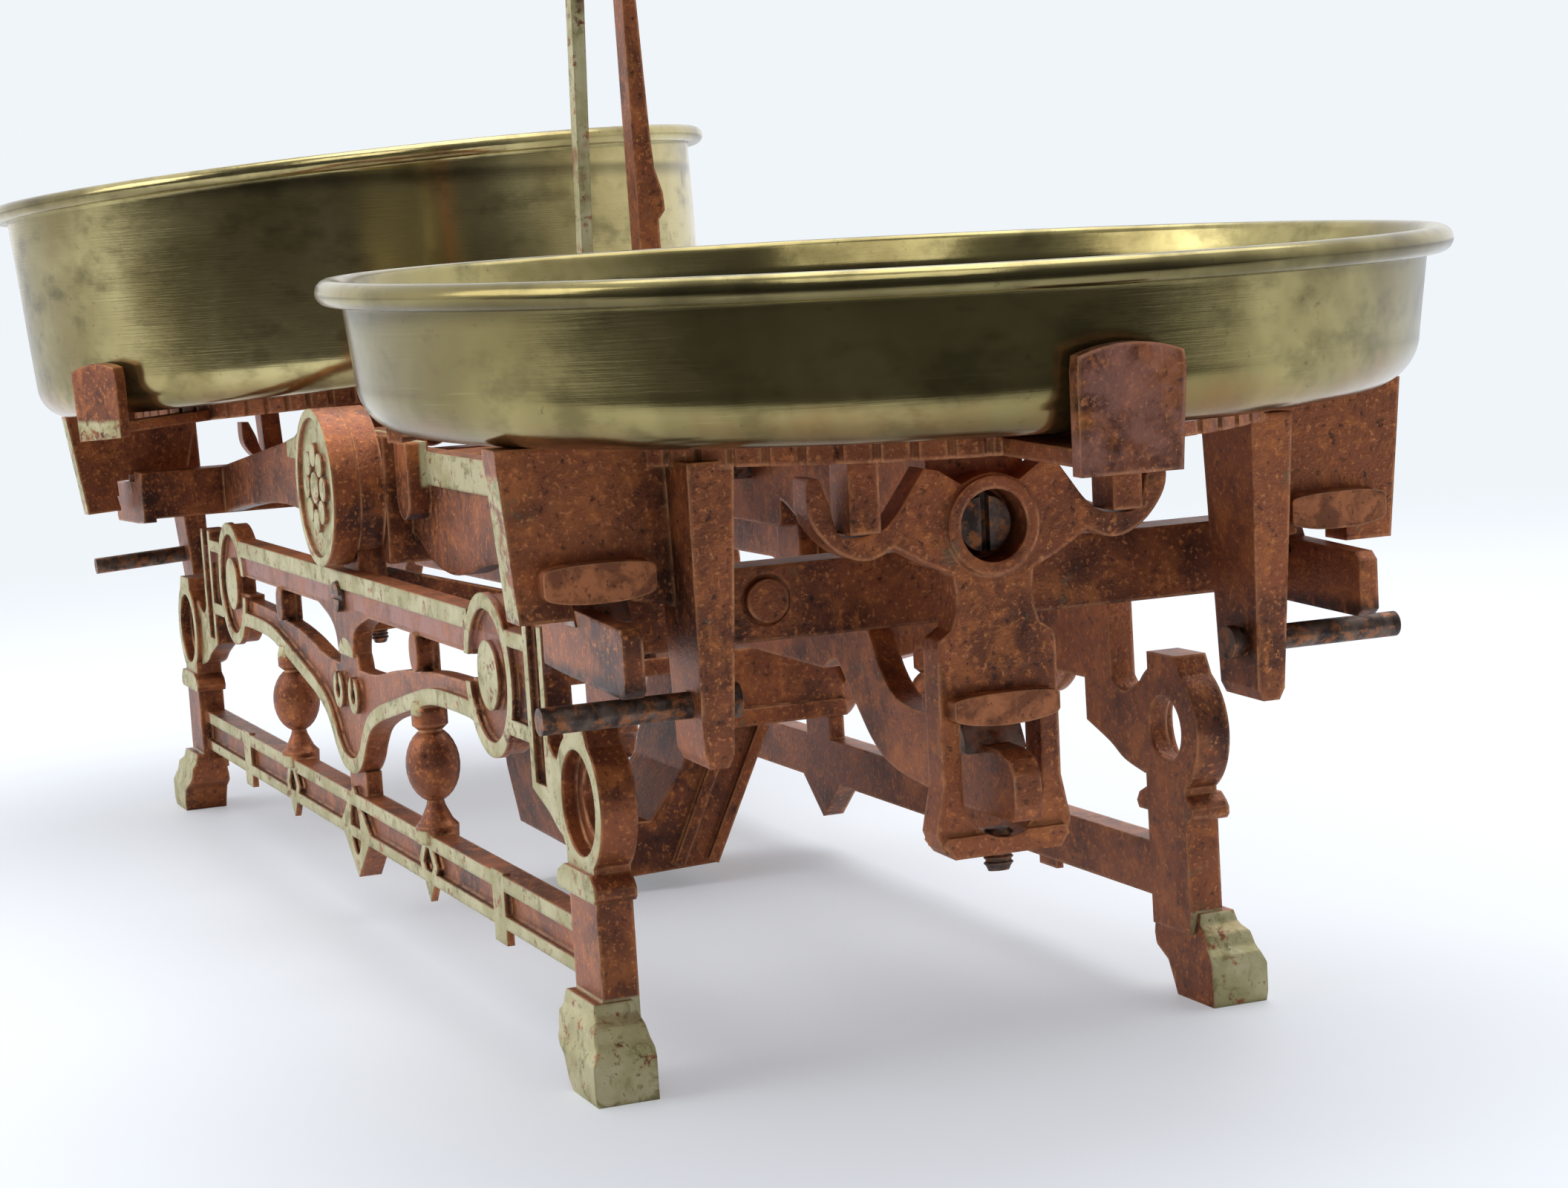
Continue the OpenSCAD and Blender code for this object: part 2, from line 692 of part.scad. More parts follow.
pointer_slot_half = 4.4;
plug_y = 32;
plug_z = -5;
plug_in = 5;

// Cross piece between the hubs, with the slot for the fixed pointer
module hub_tie() {
    high = tie_z1 - tie_z0;
    difference() {
        translate([-tie_half, -plate_y + 1, tie_z0]) cube([2 * tie_half, 2 * plate_y - 2, high]);
        translate([-pointer_slot_half, -1, tie_z0 - cut]) cube([2 * pointer_slot_half, 8.6, high + 2 * cut]);
    }
}

module main_beam() {
    color(copper_brown) on_beam() difference() {
        union() {
            for (s = [0, 1]) mirror([s, 0, 0]) beam_end();
            for (s = [0, 1]) mirror([0, s, 0]) hub_half();
            hub_tie();
        }
        for (s = [0, 1]) mirror([0, s, 0]) slab(knife_in, cover_face + cut) fulcrum_section();
        for (x = [cross_x1, -cross_x1]) translate([x, -plug_y, plug_z]) rotate([0, 90, 0]) {
            cylinder(h = 2 * plug_in, d = plug_d, center = true);
            cylinder(h = 1, d = plug_d + 1.4, center = true);
        }
        translate([0, beam_pointer_y - 7, tie_z0 + 1]) cylinder(h = 12, d = small_screw_d);
    }
}

module fulcrum_knives() {
    color(steel) on_beam() for (s = [0, 1]) mirror([0, s, 0])
        slab(knife_in, cover_face) fulcrum_section();
}

// Pair of end knives through the fork ends
module end_knives() {
    for (s = [0, 1]) mirror([0, s, 0]) translate([arm, 0, 0])
        slab(bearing_y - bearing_w / 2 + 0.5, fork_out + 0.3) end_knife_section();
}

module near_end_knives() {
    color(steel) on_beam() end_knives();
}

module far_end_knives() {
    color(steel) on_beam() mirror([1, 0, 0]) end_knives();
}

// Round cover of a hub with a plain raised rosette
module hub_cover() {
    petal_ring = hub_r * 0.42;
    slab(cover_face, cover_face + cover_t - 1.2) translate([0, hub_up]) circle(hub_r);
    slab(cover_face + cover_t - 1.21, cover_face + cover_t) translate([0, hub_up]) {
        difference() {
            circle(hub_r);
            circle(hub_r - 2);
        }
        circle(hub_r * 0.2);
        for (a = [0 : 45 : 315]) rotate(a) translate([petal_ring, 0]) circle(hub_r * 0.15);
    }
}

module front_hub_cover() {
    color(pale_gold) on_beam() hub_cover();
}

module rear_hub_cover() {
    color(pale_gold) on_beam() mirror([0, 1, 0]) hub_cover();
}

module adjusting_plugs() {
    color(copper_brown) on_beam() for (s = [0, 1]) mirror([s, 0, 0])
        translate([cross_x1 - plug_in, -plug_y, plug_z]) rotate([0, 90, 0])
            cylinder(h = plug_in + 1.2, d = plug_d);
}

beam_pointer_y = 19.5;
module beam_pointer() {
    w = moving_pointer_w;
    up = -fulcrum_z;
    color(copper_brown) on_beam() difference() {
        union() {
            translate([-w / 2, beam_pointer_y - 11, tie_z1]) cube([w, 15, foot_t]);
            translate([0, beam_pointer_y - 7, tie_z1]) cylinder(h = foot_t, r = 4.4);
            long_slab(-w / 2, w / 2) polygon([
                [16.2, tie_z1], [23, tie_z1], [22.4, 130 + up], [21.4, 149 + up], [21.4, 154 + up],
                [23, 156 + up],
                [22.8, 160 + up], [21, 166 + up], [20.4, 175 + up], [19.1, pointer_top - 30 + up],
                [17.6, pointer_top - 14 + up], [15.4, pointer_top - 6 + up], [14, pointer_top + up],
                [13.4, pointer_top - 4 + up], [14.6, pointer_top - 14 + up], [15.8, pointer_top - 30 + up],
                [16.5, 149 + up]]);
        }
        translate([0, beam_pointer_y - 7, tie_z1 - cut]) cylinder(h = foot_t + 2 * cut, d = small_screw_d);
    }
}

module beam_pointer_screw() {
    color(dark_iron) on_beam() translate([0, beam_pointer_y - 7, tie_z1 + foot_t])
        slotted_screw(5.4, 2, small_screw_d, foot_t + 5);
}

lever_knife_half = 5.5;
// Drop of the far lever end, so that it stays below the link of the leaning carrier
far_drop = (bearing_y + lever_knife_half) * sin(far_roll);
near_lever_tilt = beam_tilt;
far_lever_tilt = beam_tilt - asin(far_drop / arm);

module on_near_lever() {
    translate([lever_x, 0, lever_z]) rotate([0, near_lever_tilt, 0]) children();
}

module on_far_lever() {
    translate([-lever_x, 0, lever_z]) rotate([0, far_lever_tilt, 0]) mirror([1, 0, 0]) children();
}

lever_bar_up = 2;
lever_end_up = -3.5;
pivot_knife_half = 9.4;
bend_x = arm - 54;

// Pivot knife in section, edge down at the origin
module pivot_section() {
    polygon([[0, 0], [3, 5], [3, 8], [-3, 8], [-3, 5]]);
}

// Lower lever with its swan neck, seen from the side, pivot at the origin
module lever_side() {
    end = arm + lever_reach;
    bar_top = lever_bar_up + lever_h;
    bar_low = lever_bar_up;
    end_low = lever_end_up - lever_end_h;
    upper = smooth([
        [bend_x, bar_top], [bend_x + 8, bar_top - 1], [bend_x + 13, 5], [bend_x + 19, 0.6],
        [bend_x + 27, -0.9],
        [arm - 12, -1.2], [arm - 6, lever_end_up]], 5);
    lower = smooth([
        [arm - 6, end_low], [arm - 15, end_low + 0.6], [bend_x + 19, end_low + 2.4],
        [bend_x + 9, end_low + 6],
        [bend_x + 1, -3], [bend_x - 7, lever_bar_up + 2], [bend_x - 14, bar_low]], 5);
    polygon(concat([[-8, bar_low], [-8, bar_top - 2], [-6, bar_top]], upper,
        [[end - 6, lever_end_up - 0.4], [end - 2, lever_end_up - 1.6], [end, lever_end_up - 4],
            [end, end_low + 2.6], [end - 1.4, end_low]], lower));
}

module lever() {
    difference() {
        cross_slab(lever_t) lever_side();
        cross_slab(lever_t + 2) pivot_section();
        translate([arm, 0, 0]) cross_slab(lever_t + 2) end_knife_section();
    }
}

module lever_knives() {
    cross_slab(2 * pivot_knife_half) pivot_section();
    translate([arm, 0, 0]) cross_slab(2 * lever_knife_half) end_knife_section();
}

module near_lever() {
    color(copper_brown) on_near_lever() lever();
}

module near_lever_knives() {
    color(steel) on_near_lever() lever_knives();
}

module far_lever() {
    color(copper_brown) on_far_lever() lever();
}

module far_lever_knives() {
    color(steel) on_far_lever() lever_knives();
}

// Places what hangs on the near end knives, with the knife edge at the origin
module on_near_carrier() {
    translate([arm * cos(beam_tilt), 0, fulcrum_z - arm * sin(beam_tilt)])
        rotate([0, near_lean, 0]) children();
}

// Places what hangs on the far end knives, leaning to the front about the rear knife
module on_far_carrier() {
    translate([-arm * cos(beam_tilt), bearing_y, fulcrum_z + arm * sin(beam_tilt)]) rotate([far_roll, 0, 0])
        translate([0, -bearing_y, 0]) rotate([0, -far_lean, 0]) rotate([0, 0, 180]) children();
}

seat_low = seat_up - seat_t;
wing_back = wing_face - wing_t;
notch_top = bearing_h + seat_gap;
hook_low = -2.6;
lug_half = 9;
screw_d = 6;

// Outline of one half of the wing plate of a carrier, seen from the end
module wing_half() {
    top = wing_len / 2;
    low = top - 2.6;
    inner = leg_y + 3;
    outer = bearing_y + bearing_w / 2 - 5.4;
    polygon([[-1, seat_low], [-1, seat_up], [top, seat_up], [low, hook_low], [low - 9.5, hook_low],
        [outer, 1.6], [inner, -1.8], [inner - 7, seat_low]]);
}

// Wing plate with the slots for its bearings and the open notches for the fork ends
module wing_end(sides) {
    difference() {
        for (s = [0, 1]) mirror([s, 0]) wing_half();
        for (s = [0, 1]) mirror([s, 0])
            translate([bearing_y - 1.5 - fork_room / 2, -12]) square([fork_room, 12 + fork_top]);
        for (s = sides) translate([s * bearing_y, 0]) bearing_end();
    }
}
fork_room = 10;
// The notch clears the fork end when the carrier leans over it
fork_top = max(2, (bearing_y + fork_out) * sin(far_roll) - 1.8);

// Carrier bearing, seen from the end: slightly arched on top and rounded below
module bearing_end() {
    half = bearing_w / 2;
    polygon(concat(
        smooth([[half, notch_top - 1.2], [half - 0.9, notch_top - 0.5], [half * 0.4, notch_top],
            [-half * 0.4, notch_top], [0.9 - half, notch_top - 0.5], [-half, notch_top - 1.2]], 3),
        smooth([[-half, seat_gap + 1.9], [0.9 - half, seat_gap + 1], [-half * 0.5, seat_gap + 0.2],
            [0, seat_gap], [half * 0.5, seat_gap + 0.2], [half - 0.9, seat_gap + 1],
            [half, seat_gap + 1.9]], 3)));
}

// Tapered leg with the hole for its keeper pin
module carrier_leg() {
    difference() {
        intersection() {
            long_slab(wing_back, wing_back + 20) translate([leg_y, 0]) polygon([
                [-4, seat_low + 1], [4, seat_low + 1], [2.6, leg_low + 2], [1.6, leg_low], [-1.6, leg_low],
                [-2.6, leg_low + 2]]);
            cross_slab(3 * leg_y) polygon([[wing_back, seat_low + 1], [wing_back + 18, seat_low + 1],
                [wing_back + 15, leg_low], [wing_back + 2, leg_low]]);
        }
        translate([pin_x, leg_y, -pin_down]) rotate([90, 0, 0]) cylinder(h = 20, d = pin_d, center = true);
    }
}
leg_low = -28.1;
pin_x = wing_face + 2.6;

// Arm under the plate with the upright tab at its end
module tab_arm() {
    reach = pan_d / 2 - 2 * rim_r + tab_gap;
    top = seat_up + tab_up;
    round_r = 24;
    side_turn = acos((tab_w / 2 - 0.3) / round_r);
    translate([seat_r - 14, -8, seat_low]) cube([reach + tab_t - seat_r + 14, 16, tab_arm_t]);
    long_slab(reach, reach + tab_t) polygon(concat(
        [[-tab_w / 2, seat_low - 1.2], [tab_w / 2 - 1, seat_low - 1.2], [tab_w / 2, top - 4]],
        arc([0, top - round_r], round_r, side_turn, 180 - side_turn, 8), [[-tab_w / 2, top - 4]]));
}
tab_arm_t = 2.8;

module carrier(sides, spread) {
    difference() {
        union() {
            long_slab(wing_back, wing_face) wing_end(sides);
            translate([-pan_in, 0, seat_low]) cylinder(h = seat_t, r = seat_r, $fn = 96);
            for (s = [0, 1]) mirror([0, s, 0]) carrier_leg();
            for (a = [0, spread, -spread]) translate([-pan_in, 0, 0]) rotate(tab_turn + a) tab_arm();
            for (s = [-1, 1]) translate([wing_face + 1, s * peg_y - peg_w / 2, peg_low])
                cube([peg_len, peg_w, seat_low - peg_low + 0.01]);
            translate([wing_back - 2, -lug_half, 0]) cube([wing_t + 2, 2 * lug_half, seat_low + 0.01]);
        }
        translate([wing_face, 0, link_ring_up]) rotate([0, 90, 0])
            cylinder(h = 14, d = screw_d, center = true);
        for (a = [0 : 5 : 355]) translate([-pan_in + seat_r * cos(a), seat_r * sin(a), seat_low - 1])
            cylinder(h = seat_t + 2, r = 0.8, $fn = 8);
    }
}
// Turn of the first tab from the outer end, and of the other two from the first
tab_turn = -1.5;
near_spread = 134;
far_spread = 120;
peg_low = 7.9;
peg_w = 5.4;
peg_len = 8;

// Pair of half-moon bearings, or only the one at side s
module carrier_bearings(sides) {
    for (s = sides) translate([0, s * bearing_y, 0])
        long_slab(wing_face + 4 - bearing_len, wing_face + 4) bearing_end();
}

module keeper_pins() {
    for (s = [0, 1]) mirror([0, s, 0]) translate([pin_x, -leg_y, -pin_down]) rotate([90, 0, 0]) {
        translate([0, 0, -4]) cylinder(h = 32.6, d = pin_d);
        translate([0, 0, -5.6]) cylinder(h = 1.8, d = pin_d + 1.4);
    }
}

// Outline of one half of an anchor link, seen from the end
module link_half() {
    hook_out = peg_y + 9.8;
    cradle_z = peg_low - seat_gap;
    peg_side = peg_w / 2 + 0.5;
    outer = smooth([[hook_out - 1, 17.6], [hook_out - 1, 11.4], [hook_out - 4, 6.6], [hook_out - 8, 3.8],
        [hook_out - 12, 3.2], [hook_out - 16, 4.9]], 5);
    cradle = smooth([[12, 17.6], [14.6, 14], [17.8, 9.8], [peg_y - peg_side, cradle_z],
        [peg_y + peg_side, cradle_z], [hook_out - 4.6, 13.2], [hook_out - 3, 17.4]], 5);
    polygon(concat([[0, 16], [5.4, 14.4], [9.4, 17]], cradle, outer,
        [[12, 1.4], [7.4, -0.6], [7, -4], [7.2, -7], [8.2, -10], [link_half_w - 0.4, -11.6],
        [link_half_w, -13.4], [link_half_w, -36.6], [link_half_w + 1.6, -44.6],
        [link_half_w + 0.6, -link_low + 1.4], [link_half_w - 1.4, -link_low], [0, -link_low]]));
}

link_x0 = wing_face;
link_x1 = wing_face + link_t;
window_low = -46.1;
link_seat_z = -26.4;
link_bearing_h = 5.5;

module link_bearing_end() {
    half = 9.75;
    top = link_seat_z + link_bearing_h;
    polygon(concat(
        smooth([[half, top - 1], [half - 0.8, top - 0.5], [4, top], [-4, top], [0.8 - half, top - 0.5],
            [-half, top - 1]], 3),
        smooth([[-half, link_seat_z + 1.9], [0.9 - half, link_seat_z + 1.1], [-5, link_seat_z + 0.3],
            [0, link_seat_z], [5, link_seat_z + 0.3], [half - 0.9, link_seat_z + 1.1],
            [half, link_seat_z + 1.9]], 3)));
}

module link() {
    difference() {
        union() {
            long_slab(link_x0, link_x1) {
                link_half();
                mirror([1, 0]) link_half();
                translate([0, link_ring_up]) circle(link_hole_r + 2.6);
            }
            long_slab(link_x1 - 0.01, link_x1 + 1) difference() {
                translate([0, link_ring_up]) circle(link_hole_r + 2.2);
                translate([0, link_ring_up]) circle(link_hole_r);
            }
            long_slab(link_x0 - 1.6, link_x1 + 1.4) polygon([
                [-link_half_w + 1, -link_low], [link_half_w - 1, -link_low],
                [link_half_w + 0.6, -link_low + 2.2], [link_half_w, window_low + 1],
                [-link_half_w, window_low + 1], [-link_half_w - 0.6, -link_low + 2.2]]);
        }
        translate([link_x0, 0, link_ring_up]) rotate([0, 90, 0])
            cylinder(h = 3 * link_t, r = link_hole_r, center = true);
        long_slab(link_x0 - 3, link_x1 + 3) {
            polygon(concat([[window_half_w, -25], [-window_half_w, -25]],
                arc([0, window_low + window_half_w], window_half_w, 180, 360, 12)));
            link_bearing_end();
        }
        translate([stop_x, 0, -link_low - cut]) cylinder(h = 6, d = stop_d);
    }
}
stop_x = link_x0 + link_t / 2;

module link_bearing() {
    long_slab(link_x0 - 4, link_x1 + 3.4) link_bearing_end();
}

module link_screw() {
    translate([link_x0, 0, link_ring_up]) rotate([0, 90, 0])
        slotted_screw(2 * link_hole_r - 0.9, 3.4, screw_d, 6.5);
}

// Stop screw with a few turned grooves for its thread
module stop_screw() {
    top = window_low + 1.5;
    translate([stop_x, 0, top - stop_len]) difference() {
        cylinder(h = stop_len, d = stop_d);
        for (z = [0.8 : 1 : 2.8]) translate([0, 0, z]) rotate_extrude() translate([stop_d / 2, 0])
            polygon([[-0.4, 0], [0.2, -0.35], [0.2, 0.35]]);
    }
}

module near_carrier() {
    color(copper_brown) on_near_carrier() carrier([-1, 1], near_spread);
}

module near_carrier_bearings() {
    color(steel) on_near_carrier() carrier_bearings([-1, 1]);
}

module near_keeper_pins() {
    color(dark_iron) on_near_carrier() keeper_pins();
}

module near_link() {
    color(copper_brown) on_near_carrier() link();
}

module near_link_bearing() {
    color(steel) on_near_carrier() link_bearing();
}

module near_link_screw() {
    color(dark_iron) on_near_carrier() link_screw();
}

module near_stop_screw() {
    color(dark_iron) on_near_carrier() stop_screw();
}

module far_carrier() {
    color(copper_brown) on_far_carrier() carrier(far_sides, far_spread);
}

// The front bearing and its slot are there only while the carrier stands level
far_sides = far_roll > 0.2 ? [-1] : [-1, 1];
module far_carrier_bearing() {
    color(steel) on_far_carrier() carrier_bearings(far_sides);
}

module far_keeper_pins() {
    color(dark_iron) on_far_carrier() keeper_pins();
}

module far_link() {
    color(copper_brown) on_far_carrier() link();
}

module far_link_bearing() {
    color(steel) on_far_carrier() link_bearing();
}

module far_link_screw() {
    color(dark_iron) on_far_carrier() link_screw();
}

module far_stop_screw() {
    color(dark_iron) on_far_carrier() stop_screw();
}

// Pan of spun brass sheet with a rolled rim, standing on the plate of its carrier
module pan(h) {
    wall_r = pan_d / 2 - 2 * rim_r;
    foot_r = wall_r - 1.6;
    corner = [foot_r - pan_corner_r, pan_corner_r];
    bead = [pan_d / 2 - rim_r, h];
    translate([-pan_in, 0, seat_up]) rotate_extrude($fn = 128) polygon(concat(
        [[0, 0]], arc(corner, pan_corner_r, -90, 0, 8),
        [[wall_r, h - rim_r]], arc(bead, rim_r, 215, 500, 20),
        [[wall_r - sheet_t, h - rim_r - 1]], arc(corner, pan_corner_r - sheet_t, 0, -90, 8), [[0, sheet_t]]));
}

module shallow_pan() {
    color(brass) on_near_carrier() pan(shallow_h);
}

module deep_pan() {
    color(brass) on_far_carrier() pan(deep_h);
}

front_side_frame();
rear_side_frame();
centre_bridge();
bridge_bolts();
fulcrum_bearings();
lever_bearings();
fixed_pointer();
fixed_pointer_screw();
main_beam();
fulcrum_knives();
near_end_knives();
far_end_knives();
front_hub_cover();
rear_hub_cover();
adjusting_plugs();
beam_pointer();
beam_pointer_screw();
near_lever();
near_lever_knives();
far_lever();
far_lever_knives();
near_carrier();
near_carrier_bearings();
near_keeper_pins();
near_link();
near_link_bearing();
near_link_screw();
near_stop_screw();
far_carrier();
far_carrier_bearing();
far_keeper_pins();
far_link();
far_link_bearing();
far_link_screw();
far_stop_screw();
shallow_pan();
deep_pan();
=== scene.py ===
"""Looks of the open counter scale: worn copper paint, pale gold ribs, tarnished brass."""

import math

import bmesh
import bpy
from mathutils import Matrix, Vector


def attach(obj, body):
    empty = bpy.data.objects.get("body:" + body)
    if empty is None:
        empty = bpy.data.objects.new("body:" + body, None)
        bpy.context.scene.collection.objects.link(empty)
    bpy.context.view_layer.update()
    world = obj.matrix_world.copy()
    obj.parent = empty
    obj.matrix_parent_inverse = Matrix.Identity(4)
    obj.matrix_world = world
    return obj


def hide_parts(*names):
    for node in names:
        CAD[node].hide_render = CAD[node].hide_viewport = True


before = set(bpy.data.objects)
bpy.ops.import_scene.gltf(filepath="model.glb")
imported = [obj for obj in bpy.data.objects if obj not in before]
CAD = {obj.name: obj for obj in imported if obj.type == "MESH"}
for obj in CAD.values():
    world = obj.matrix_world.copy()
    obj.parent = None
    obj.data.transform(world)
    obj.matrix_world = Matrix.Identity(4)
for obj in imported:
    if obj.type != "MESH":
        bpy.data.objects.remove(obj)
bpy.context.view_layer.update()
MM = 0.001

# Sizes of the scale in millimetres, as the source of the part has them
ARM = 204.0
FULCRUM_Z = 92.0
BEAM_TILT = math.radians(0.4)
NEAR_LEAN = math.radians(1.7)
FAR_LEAN = math.radians(1.5)
FAR_ROLL = math.radians(3.1)
BEARING_Y = 68.6
SEAT_UP = 25.8
PAN_IN = 25.0
PAN_D = 200.0
RIM_R = 2.26
SHEET = 1.2
PAN_CORNER = 9.0
WALL_DRAFT = 1.6
SHALLOW_H = 24.8
DEEP_H = 57.1
# Angles in degrees between which the wall's sheet rolls round the rim
BEAD_FROM = 215
BEAD_TO = 500
# Share of its radius by which a pan is dented at most
PAN_DENT = 0.0016


def shift(x, y, z):
    """A move, in millimetres."""
    return Matrix.Translation(Vector((x, y, z)) * MM)


def turn(angle, axis):
    """A turn about one axis, in radians."""
    return Matrix.Rotation(angle, 4, axis)


# Places of the two carriers, each from the end knife that it rests on
ARM_ACROSS = ARM * math.cos(BEAM_TILT)
ARM_DROP = ARM * math.sin(BEAM_TILT)
NEAR_PLACE = shift(ARM_ACROSS, 0, FULCRUM_Z - ARM_DROP) @ turn(NEAR_LEAN, "Y")
FAR_PLACE = (
    shift(-ARM_ACROSS, BEARING_Y, FULCRUM_Z + ARM_DROP)
    @ turn(FAR_ROLL, "X")
    @ shift(0, -BEARING_Y, 0)
    @ turn(-FAR_LEAN, "Y")
    @ turn(math.pi, "Z")
)


# ---------------------------------------------------------------- finishes


class Number:
    """A number worked out over the surface. Its arithmetic adds Math nodes."""

    def __init__(self, finish, socket):
        self.finish = finish
        self.socket = socket

    def _math(self, operation, first, second=None):
        inputs = {0: first} if second is None else {0: first, 1: second}
        node = self.finish.node("ShaderNodeMath", {"operation": operation}, inputs)
        return Number(self.finish, node.outputs[0])

    def __add__(self, other):
        return self._math("ADD", self, other)

    __radd__ = __add__

    def __sub__(self, other):
        return self._math("SUBTRACT", self, other)

    def __rsub__(self, other):
        return self._math("SUBTRACT", other, self)

    def __mul__(self, other):
        return self._math("MULTIPLY", self, other)

    __rmul__ = __mul__

    def __abs__(self):
        return self._math("ABSOLUTE", self)

    def above(self, low, high):
        """0 at low or less, 1 at high or more, smooth between. Turned round when low is larger."""
        settings = {"interpolation_type": "SMOOTHSTEP", "clamp": True}
        inputs = {"Value": self, "From Min": low, "From Max": high}
        return Number(self.finish, self.finish.node("ShaderNodeMapRange", settings, inputs).outputs[0])

    def most(self, other):
        return self._math("MAXIMUM", self, other)


class Finish:
    """The nodes of one material."""

    def __init__(self, name):
        self.material = bpy.data.materials.new(name)
        self.material.use_nodes = True
        self.tree = self.material.node_tree
        self.tree.nodes.clear()
        coordinates = self.node("ShaderNodeTexCoord")
        self.place = coordinates.outputs["Object"]
        self.facing = coordinates.outputs["Normal"]

    def node(self, kind, settings=None, inputs=None):
        node = self.tree.nodes.new(kind)
        for name, value in (settings or {}).items():
            setattr(node, name, value)
        for name, value in (inputs or {}).items():
            self.feed(node.inputs[name], value)
        return node

    def feed(self, socket, value):
        if isinstance(value, Number):
            value = value.socket
        if isinstance(value, bpy.types.NodeSocket):
            self.tree.links.new(value, socket)
        elif isinstance(value, tuple) and len(value) == 3 and socket.type == "RGBA":
            socket.default_value = (*value, 1)
        else:
            socket.default_value = value

    def split(self, vector):
        node = self.node("ShaderNodeSeparateXYZ", inputs={0: vector})
        return [Number(self, socket) for socket in node.outputs]

    def noise(self, size, detail=3.0, rough=0.55, at=None, warp=0.0):
        """Cloudy noise whose features are about size millimetres across."""
        inputs = {
            "Vector": at or self.place,
            "Scale": 1 / (size * MM),
            "Detail": detail,
            "Roughness": rough,
            "Distortion": warp,
        }
        return Number(self, self.node("ShaderNodeTexNoise", inputs=inputs).outputs["Fac"])

    def stretched(self, x, y, z):
        """The place on the object, stretched along each axis."""
        inputs = {"Vector": self.place, "Scale": (x, y, z)}
        return self.node("ShaderNodeMapping", inputs=inputs).outputs[0]

    def mix(self, first, second, share):
        """The colours first and second mixed, with all of second where share is 1."""
        inputs = {0: share, 6: first, 7: second}
        return self.node("ShaderNodeMix", {"data_type": "RGBA"}, inputs).outputs[2]

    def rounded(self, radius):
        """Normal with rounded edges, and how near an edge a point is."""
        soft = self.node("ShaderNodeBevel", {"samples": 4}, {"Radius": radius * MM}).outputs[0]
        plain = self.node("ShaderNodeNewGeometry").outputs["Normal"]
        dot = self.node("ShaderNodeVectorMath", {"operation": "DOT_PRODUCT"}, {0: soft, 1: plain})
        return soft, 1 - Number(self, dot.outputs["Value"])

    def hollow_soot_and_shade(self, distance):
        """1 deep in a corner, 0 on an open face. Used to darken corners with soot and painted shade."""
        node = self.node(
            "ShaderNodeAmbientOcclusion", {"samples": 6, "only_local": True}, {"Distance": distance * MM}
        )
        return 1 - Number(self, node.outputs["AO"])

    def done(self, colour, roughness, metallic, height, depth, normal=None):
        """Close the material. height is its relief, depth millimetres deep."""
        inputs = {"Base Color": colour, "Roughness": roughness, "Metallic": metallic}
        shader = self.node("ShaderNodeBsdfPrincipled", inputs=inputs)
        bump = self.node("ShaderNodeBump", inputs={"Height": height, "Distance": depth * MM})
        if normal is not None:
            self.feed(bump.inputs["Normal"], normal)
        self.feed(shader.inputs["Normal"], bump.outputs[0])
        output = self.node("ShaderNodeOutputMaterial")
        self.tree.links.new(shader.outputs[0], output.inputs["Surface"])
        return self.material


def tone(red, green, blue):
    """A colour as a screen shows it, 0 to 255, in the renderer's own scale."""
    shares = (red / 255, green / 255, blue / 255)
    return tuple(c / 12.92 if c <= 0.04045 else ((c + 0.055) / 1.055) ** 2.4 for c in shares)


COPPER = tone(152, 88, 55)
RUST = tone(206, 126, 66)
DEEP = tone(76, 41, 28)
# Dark soot, also used as painted shade in corners
SOOT_AND_SHADE = tone(42, 32, 27)
BRIGHT = tone(224, 158, 108)
# Pink painted sheen
PINK_SHEEN = tone(168, 118, 104)
# Dark oil, also used as painted shade on the beam's undersides
OIL_AND_SHADE = tone(34, 24, 20)
VERDIGRIS = tone(92, 104, 82)
GOLD = tone(176, 168, 122)
GOLD_LIGHT = tone(200, 192, 152)
OLIVE = tone(122, 116, 66)
CHIP = tone(196, 186, 184)
IRON_DARK = tone(58, 48, 44)
IRON_EDGE = tone(205, 190, 170)
BEARING_DULL = tone(128, 76, 48)
BEARING_RUBBED = tone(184, 116, 74)
BEARING_EDGE = tone(224, 178, 132)
BRASS_OLIVE = tone(94, 86, 54)
BRASS_BROWN = tone(146, 102, 62)
BRASS_SPOT = tone(60, 54, 40)
# Painted shadow just under a pan's rim
BRASS_RIM_SHADE = tone(62, 54, 38)
BRASS_STREAK = tone(190, 178, 130)
FLOOR_PALE = tone(236, 240, 247)
ROOM_DARK = tone(38, 34, 30)
BACKDROP = tone(240, 245, 250)


